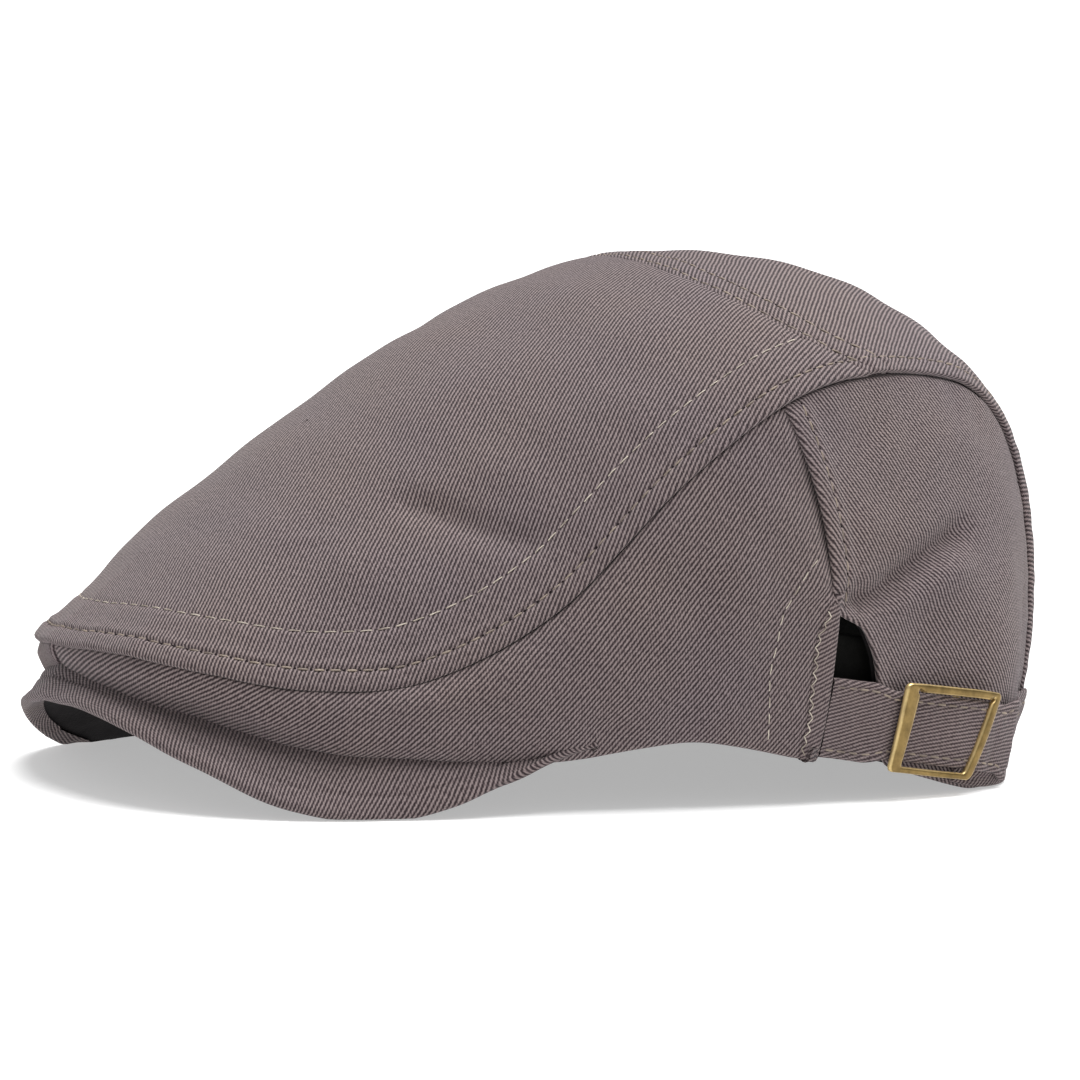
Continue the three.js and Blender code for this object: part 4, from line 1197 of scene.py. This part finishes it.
around = np.linspace(0, 1, 420, endpoint=False)
up = np.linspace(0, 1, 22)
share, height = np.meshgrid(around, up, indexing="ij")
outerFace = bandPoint(share, height, 0.1)
innerFace = bandPoint(share, height, sweatband["thickness"])
away = unit(outerFace - innerFace)
ripple = sweatband["ripple"] * np.sin(height * math.pi) * lineNoise(share * 520, 16, 81)
innerFace = innerFace + away * ripple[..., None]
outerFace = outerFace + away * 0.2 * ripple[..., None]
rimAbove = mix(outerFace[:, -1:], innerFace[:, -1:], 0.5) + np.array([0, 0, 0.5])
rimBelow = mix(outerFace[:, :1], innerFace[:, :1], 0.5) - np.array([0, 0, 0.4])
loop = np.concatenate([outerFace, rimAbove, innerFace[:, ::-1], rimBelow, outerFace[:, :1]], axis=1)
loop[..., 2] = np.maximum(loop[..., 2], 0.05)
loopUv = np.stack(np.broadcast_arrays(share[:, :1] * 540, np.arange(loop.shape[1]) * 1.3), -1)
bandPiece = makeMesh("sweatband_cloth", [(loop, loopUv, 0, True)], [bandCloth])
print("sweatband made")


# Adjuster: strap, buckle and the tab that holds it
strap = {
    "halfWidth": 9.4, "thickness": 1.6, "lean": 0.17, "start": 7.2, "end": 9.72,
    "squeeze": 1.5,             # narrower by this on each side within the buckle
    "stitchIn": 1.9, "stitchPitch": 3.3, "edgeRound": 0.15, "uneven": 0.12,
    "finer": 1.12,              # its twill is a little finer
    "ribAngle": [[7.2, 20], [8.0, 20], [8.7, 11], [9.8, 10]],
    "path": [[7.1, -1.2, 0.167], [7.6, -0.55, 0.154], [7.9, 0.38, 0.146], [8.2, 0.38, 0.137],
             [8.6, 1.38, 0.122], [8.78, 1.38, 0.116], [9.2, 0.9, 0.1], [9.8, 0.88, 0.085]],
    "lift": [[7.1, -1.9], [7.6, -0.9], [7.9, 0.6], [8.2, 0.6], [8.45, 1.6], [8.65, 2.4], [8.9, 2.5],
             [9.08, 2.3], [9.24, 1.5], [9.45, 1.35], [9.8, 1.4]],
}


def wallShare(u, z):             # how far up the wall a height is
    seam, ridge, hem = stationAt(u)[:3]
    return (z - hem[..., 2]) / (seam[..., 2] - hem[..., 2])


def strapPoint(u, v, lift):      # u along the strap, v up across it and lift out from it, in mm
    u, v, lift = np.broadcast_arrays(u, v, lift)
    middle = readTable(strap["path"], 2, u) * cap["crownHeight"]
    place = u + v * math.sin(strap["lean"]) / cap["stationStride"]
    z = middle + v * math.cos(strap["lean"])
    t = wallShare(place, z)
    return wallPoint(place, t) + wallNormal(place, np.clip(t, 0.01, 1)) * lift[..., None]


def closedBand(outer, inner, bulge):               # a soft band with rounded edges, from its two faces
    edgeOut = unit(outer[:, -1:] - outer[:, -2:-1])
    edgeBack = unit(outer[:, :1] - outer[:, 1:2])
    right = mix(outer[:, -1:], inner[:, -1:], 0.5) + edgeOut * bulge
    left = mix(outer[:, :1], inner[:, :1], 0.5) + edgeBack * bulge
    return np.concatenate([outer, right, inner[:, ::-1], left, outer[:, :1]], axis=1)


u = np.linspace(strap["start"], strap["end"], 150)[:, None]
across = np.unique(np.r_[np.linspace(-1, -0.7, 8), np.linspace(-0.7, 0.7, 16), np.linspace(0.7, 1, 8)])[None]
squeeze = ease(u, 7.7, 8.0) * (1 - ease(u, 9.4, 9.7))
halfSpan = strap["halfWidth"] - strap["squeeze"] * squeeze
window = np.hanning(9) / np.hanning(9).sum()
base = readTable(strap["lift"], 1, u[:, 0])
base = np.convolve(np.pad(base, 4, "edge"), window, "valid")[:, None]
v = across * halfSpan
fromStrapEdge = halfSpan * (1 - np.abs(across))
lift = base + strap["thickness"] + 0.12 * (1 - ease(fromStrapEdge, 1.2, 2.6))
lift = lift - 0.5 * (1 - ease(fromStrapEdge, 0, 0.7)) - 0.3 * bell(fromStrapEdge, strap["stitchIn"], 0.5)
outer = settle(strapPoint(u, v, lift))
inner = settle(strapPoint(u, v, base + 0.1 + 0.4 * (1 - ease(fromStrapEdge, 0, 0.7))))
normals = gridNormals(outer, capCentre)
outer = outer + normals * (strap["uneven"] * softNoise(outer, 9.0, 91))[..., None]
arc = lengthAlong(outer[:, 16])
angle = np.radians(readTable(strap["ribAngle"], 1, u[:, 0]))
strapUv = strap["finer"] * bentStrip(arc, np.broadcast_to(v, outer.shape[:2]), angle)
loop = closedBand(outer, inner, strap["edgeRound"])
loopUv = np.concatenate([strapUv, strapUv[:, -1:] + 0.6, strapUv[:, ::-1], strapUv[:, :1] - 0.6,
                         strapUv[:, :1]], axis=1)
strapPiece = makeMesh("strap_cloth", [(loop, loopUv, 0, False)], [edgeTwill])
stitchU = np.linspace(strap["start"] + 0.03, 9.7, 300)
for sign in (-1, 1):
    reach = sign * (np.interp(stitchU, u[:, 0], halfSpan[:, 0]) - strap["stitchIn"])
    high = np.interp(stitchU, u[:, 0], base[:, 0]) + strap["thickness"] - 0.12
    path = settle(strapPoint(stitchU, reach, high))
    stitchRow(path, wallNormal(stitchU, 0.15), strap["stitchPitch"], radius=0.25, hole=0)
print("strap made")

buckle = {
    "halfHeight": 10.3, "topRail": 1.9, "footRail": 1.4, "thickness": 1.7, "corner": 1.5, "holeCorner": 0.9,
    "front": 8.0, "frontBar": 0.165, "back": 9.13, "backBar": 0.12, "notch": 1.3, "backLean": 0.011,
    "frontLift": 2.6, "backLift": 3.6,
    # round a bar's section, as shares across it and up through it
    "section": [(0, 0.35), (0, 0.75), (0.1, 0.93), (0.25, 1.0), (0.5, 1.03), (0.75, 1.0), (0.9, 0.93),
                (1, 0.75), (1, 0.35), (0.9, 0.08), (0.7, 0), (0.3, 0), (0.1, 0.08), (0, 0.35)],
    # the middle bar; its ends are under the strap
    "bar": {"at": 8.68, "halfStations": 0.045, "halfLength": 8.1, "lift": 0.5, "radius": 0.45},
}


def ringPoint(u, v, depth):
    tilt = (u - buckle["front"]) / (buckle["back"] - buckle["front"])
    u = u + tilt * (v - buckle["halfHeight"]) * buckle["backLean"]         # the back bar leans more
    return settle(strapPoint(u, v, mix(buckle["frontLift"], buckle["backLift"], tilt) + depth))


def frameOutline(front, back, low, high, corner, notch, count=14):   # places (u, v) round a rounded opening
    start, end = (strapPoint(np.array(place), 0.0, 0.0) for place in (8.6, 8.8))
    perStation = np.linalg.norm(end - start) / 0.2
    cu = corner / perStation
    places = []
    corners = [(front, high, 180, 90), (back, high, 90, 0), (back, low, 0, -90), (front, low, -90, -180)]
    for k, (x, y, a0, a1) in enumerate(corners):
        sx, sy = (1 if x == front else -1), (-1 if y == high else 1)
        bite = notch if k < 2 else 0
        for a in np.linspace(a0, a1, 9):
            r = math.radians(a)
            grow = 1 + bite * math.sin(math.pi * (a - a0) / (a1 - a0)) ** 2 / corner
            places.append((x + cu * (sx + grow * math.cos(r)), y + corner * (sy + grow * math.sin(r))))
    places = np.array(places)
    places = np.vstack([places, places[:1]])
    stretch = np.column_stack([places[:, 0] * perStation, places[:, 1]])
    arc = lengthAlong(stretch)
    # the same number of points on each side, so that inner and outer outlines match
    marks = [0, 8, 9, 17, 18, 26, 27, 35, 36]
    out = []
    for i, j in zip(marks[:-1], marks[1:]):
        n = count if (j - i) == 1 else 9
        s = np.linspace(arc[i], arc[j], n, endpoint=False)
        out.append(np.column_stack([np.interp(s, arc, places[:, 0]), np.interp(s, arc, places[:, 1])]))
    return np.vstack(out)


b = buckle
outside = frameOutline(b["front"], b["back"], -b["halfHeight"], b["halfHeight"], b["corner"], 0)
hole = frameOutline(b["front"] + b["frontBar"], b["back"] - b["backBar"], -b["halfHeight"] + b["footRail"],
                    b["halfHeight"] - b["topRail"], b["holeCorner"], b["notch"])
ring = np.stack([ringPoint(*mix(outside, hole, across).T, high * b["thickness"])
                 for across, high in b["section"]], 1)
ringUv = np.stack(np.broadcast_arrays(np.array(b["section"])[None, :, 0], np.zeros(ring.shape[:2])), -1)
ringPiece = makeMesh("buckle_frame_metal", [(ring, ringUv, 0, True)], [brass])
bar = b["bar"]
a = np.arange(13) % 12 * math.pi / 6
barGrid = settle(strapPoint(bar["at"] + bar["halfStations"] * np.cos(a),
                            np.linspace(-bar["halfLength"], bar["halfLength"], 40)[:, None],
                            bar["lift"] + bar["radius"] * np.sin(a)))
barPiece = makeMesh("buckle_bar_metal", [(barGrid, np.zeros(barGrid.shape[:2] + (2,)), 0, False)], [brass])
print("buckle made")

tab = {"thickness": 0.9, "top": 18.4, "foot": 0.6, "start": 8.77, "end": 12.8, "lift": 0.25,
       "ribAngle": 40.0, "stitchIn": 2.2, "stitchPitch": 3.6, "softness": 0.18, "softWave": 12.0}
u = np.linspace(tab["start"], tab["end"], 190)[:, None]
up = endDense(26, 0.06, 4)[None]
z = mix(stationAt(u)[2][..., 2] + tab["foot"], tab["top"], up)
tabBase = settle(wallPoint(u, wallShare(u, z)))
tabWay = gridNormals(tabBase, capCentre)
fromTab = np.minimum(z - z.min(), tab["top"] - z)
lift = tab["lift"] + tab["thickness"] + 0.3 - 0.25 * bell(fromTab, tab["stitchIn"], 0.5)
lift = lift + tab["softness"] * softNoise(tabBase, tab["softWave"], 95)
tabPoints = tabBase + tabWay * lift[..., None]
arc = lengthAlong(tabPoints[:, 0])
ribAngle = np.full(len(arc), math.radians(tab["ribAngle"]))
tabUv = bentStrip(arc, np.broadcast_to(z, tabPoints.shape[:2]), ribAngle)
sheet = {"points": tabPoints, "normals": tabWay, "uv": tabUv}
fromTabTop = np.broadcast_to(tab["top"] - z, tabPoints.shape[:2])[:, ::-1]
tabCols = np.full(len(arc), tabPoints.shape[1] - 1 - levelLine(fromTabTop, tab["stitchIn"])[0])
stitchRow(*rowPath(tabPoints, tabWay, np.arange(len(arc), dtype=float), tabCols), tab["stitchPitch"], hole=0)
turnEdges(sheet, [("left", 0.55, 0.5, 180, 4), ("right", 0.55, 0.5, 180, 4),
                  ("first", 0.5, 0.5, 180, 4), ("last", 0.5, 0.5, 180, 4)])
sheet["points"][..., 2] = np.maximum(sheet["points"][..., 2], 0.03)
tabPiece = makePanel("hem_tab_cloth", [sheet], [edgeTwill])
print("tab made")


# Every stitch, joined in one mesh for each thread. A stitch has five rings of six points; each ring has
# its place along the stitch, its height as a share of the arch and its thickness as a share of the radius.
stitchForm = {"places": [0, 0.14, 0.5, 0.86, 1.0], "heights": [-0.35, 0.55, 1.0, 0.55, -0.35],
              "thickness": [0.75, 1, 1, 1, 0.75], "sides": 6}


def makeThreads(name, parts, material):
    share, lift, thick = (np.array(stitchForm[key])[:, None] for key in ("places", "heights", "thickness"))
    sides = stitchForm["sides"]
    a = (np.arange(sides) * 2 * math.pi / sides)[:, None]
    verts = []
    for starts, ends, ways, radius, arch in parts:
        run = ends - starts
        side = unit(np.cross(run, ways))
        centre = starts[:, None] + run[:, None] * share + ways[:, None] * (lift * arch)
        circle = side[:, None, None] * np.cos(a) + ways[:, None, None] * np.sin(a)
        verts.append(centre[:, :, None] + circle * (thick * radius)[:, None])
    verts = np.concatenate(verts)
    index = np.arange(verts.size // 3).reshape(verts.shape[:3])
    after = np.roll(index, -1, axis=2)
    faces = np.stack([index[:, :-1], after[:, :-1], after[:, 1:], index[:, 1:]], -1).reshape(-1, 4)
    piece, mesh = addPiece(name, verts.reshape(-1, 3), faces, [material])
    mesh.update()
    return piece


darkStitches = makeThreads("edge_stitches", threads["dark"], darkThread)
lightStitches = makeThreads("light_stitches", threads["light"], lightThread)
# the needle holes' marks are dark capsules of painted shadow, not thread
holeShadowMarks = makeThreads("painted_hole_shadows", threads["hole"], holeShade)
print("stitches sewn", len(darkStitches.data.polygons), len(lightStitches.data.polygons))


# What rides on what
sidePieces = [side["piece"] for side in (leftSide, rightSide)]
standsFor = [
    (topCloth, "top_panel"), (sidePieces[0], "side_panel_left"), (sidePieces[1], "side_panel_right"),
    (leftQuarter, "quarter_panel_left"), (rightQuarter, "quarter_panel_right"),
    (backCloth, "back_panel"), (peakCloth, "peak"), (bandPiece, "sweatband"), (strapPiece, "strap"),
    (ringPiece, "buckle_frame"), (barPiece, "buckle_bar"), (tabPiece, "buckle_tab"),
]
for piece, node in standsFor:
    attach(piece, "root")
    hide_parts(node)
for piece in (darkStitches, lightStitches, holeShadowMarks, openingFacing):
    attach(piece, "root")


# Camera, floor and light
view = {"azimuth": 66.0, "elevation": 6.6, "roll": 1.35, "distance": 1.7, "target": (0, 0.0014, 0.058),
        "pixelsPerMm": 4.2, "centre": (531, 520), "frame": 1080, "sensor": 36}
az, el, ro = (math.radians(view[k]) for k in ("azimuth", "elevation", "roll"))
away = Vector((math.sin(az) * math.cos(el), -math.cos(az) * math.cos(el), math.sin(el)))
level = Vector((math.cos(az), math.sin(az), 0))
upward = away.cross(level)
rightward = level * math.cos(ro) + upward * math.sin(ro)
upward = upward * math.cos(ro) - level * math.sin(ro)
camera = bpy.data.objects.new("camera", bpy.data.cameras.new("camera"))
scene.collection.objects.link(camera)
turned = Matrix((rightward, upward, away)).transposed().to_4x4()
camera.matrix_world = Matrix.Translation(Vector(view["target"]) + away * view["distance"]) @ turned
camera.data.sensor_width = view["sensor"]
camera.data.lens = view["pixelsPerMm"] * view["distance"] * 1000 / view["frame"] * view["sensor"]
camera.data.shift_x = (view["frame"] / 2 - view["centre"][0]) / view["frame"]
camera.data.shift_y = (view["centre"][1] - view["frame"] / 2) / view["frame"]
camera.data.clip_end = 20
scene.camera = camera

make = startFinish("pale_floor")
pale = make.ramp(make.noise(3.0, 2.0), (0, (0.60, 0.60, 0.60, 1)), (1, (0.64, 0.64, 0.64, 1)))
make.shade(Base_Color=pale, Roughness=0.9, Emission_Color=(1, 1, 1, 1),
           Emission_Strength=0.42)      # keeps the cap's shadow light
bpy.ops.mesh.primitive_plane_add(size=14, location=(0, 0, -0.0004))
floor = bpy.context.object
floor.name = "floor"
floor.data.materials.append(make.material)

studio = {"sky": 0.4, "horizon": 0.92, "paling": (0.08, 0.26),      # white low down, dimmer overhead
          "sun": 4.9, "sunSpread": 50.0, "sunFrom": (0.06, 0.2, 0.97)}
world = bpy.data.worlds.new("studio")
scene.world = world
world.use_nodes = True
air = world.node_tree
kinds = ("ShaderNodeTexCoord", "ShaderNodeSeparateXYZ", "ShaderNodeValToRGB")
around, parts, paling = (air.nodes.new(kind) for kind in kinds)
air.links.new(around.outputs["Generated"], parts.inputs[0])
greys = (studio["horizon"], studio["sky"])
for element, place, grey in zip(paling.color_ramp.elements, studio["paling"], greys):
    element.position, element.color = place, (grey, grey, grey, 1)
air.links.new(parts.outputs["Z"], paling.inputs[0])
air.links.new(paling.outputs[0], air.nodes["Background"].inputs[0])

sun = bpy.data.lights.new("soft_sun", "SUN")
sun.energy = studio["sun"]
sun.angle = math.radians(studio["sunSpread"])
lamp = bpy.data.objects.new("soft_sun", sun)
lamp.rotation_euler = Vector(studio["sunFrom"]).to_track_quat("Z", "Y").to_euler()
scene.collection.objects.link(lamp)
scene.view_settings.view_transform = "Standard"
print("stage set")
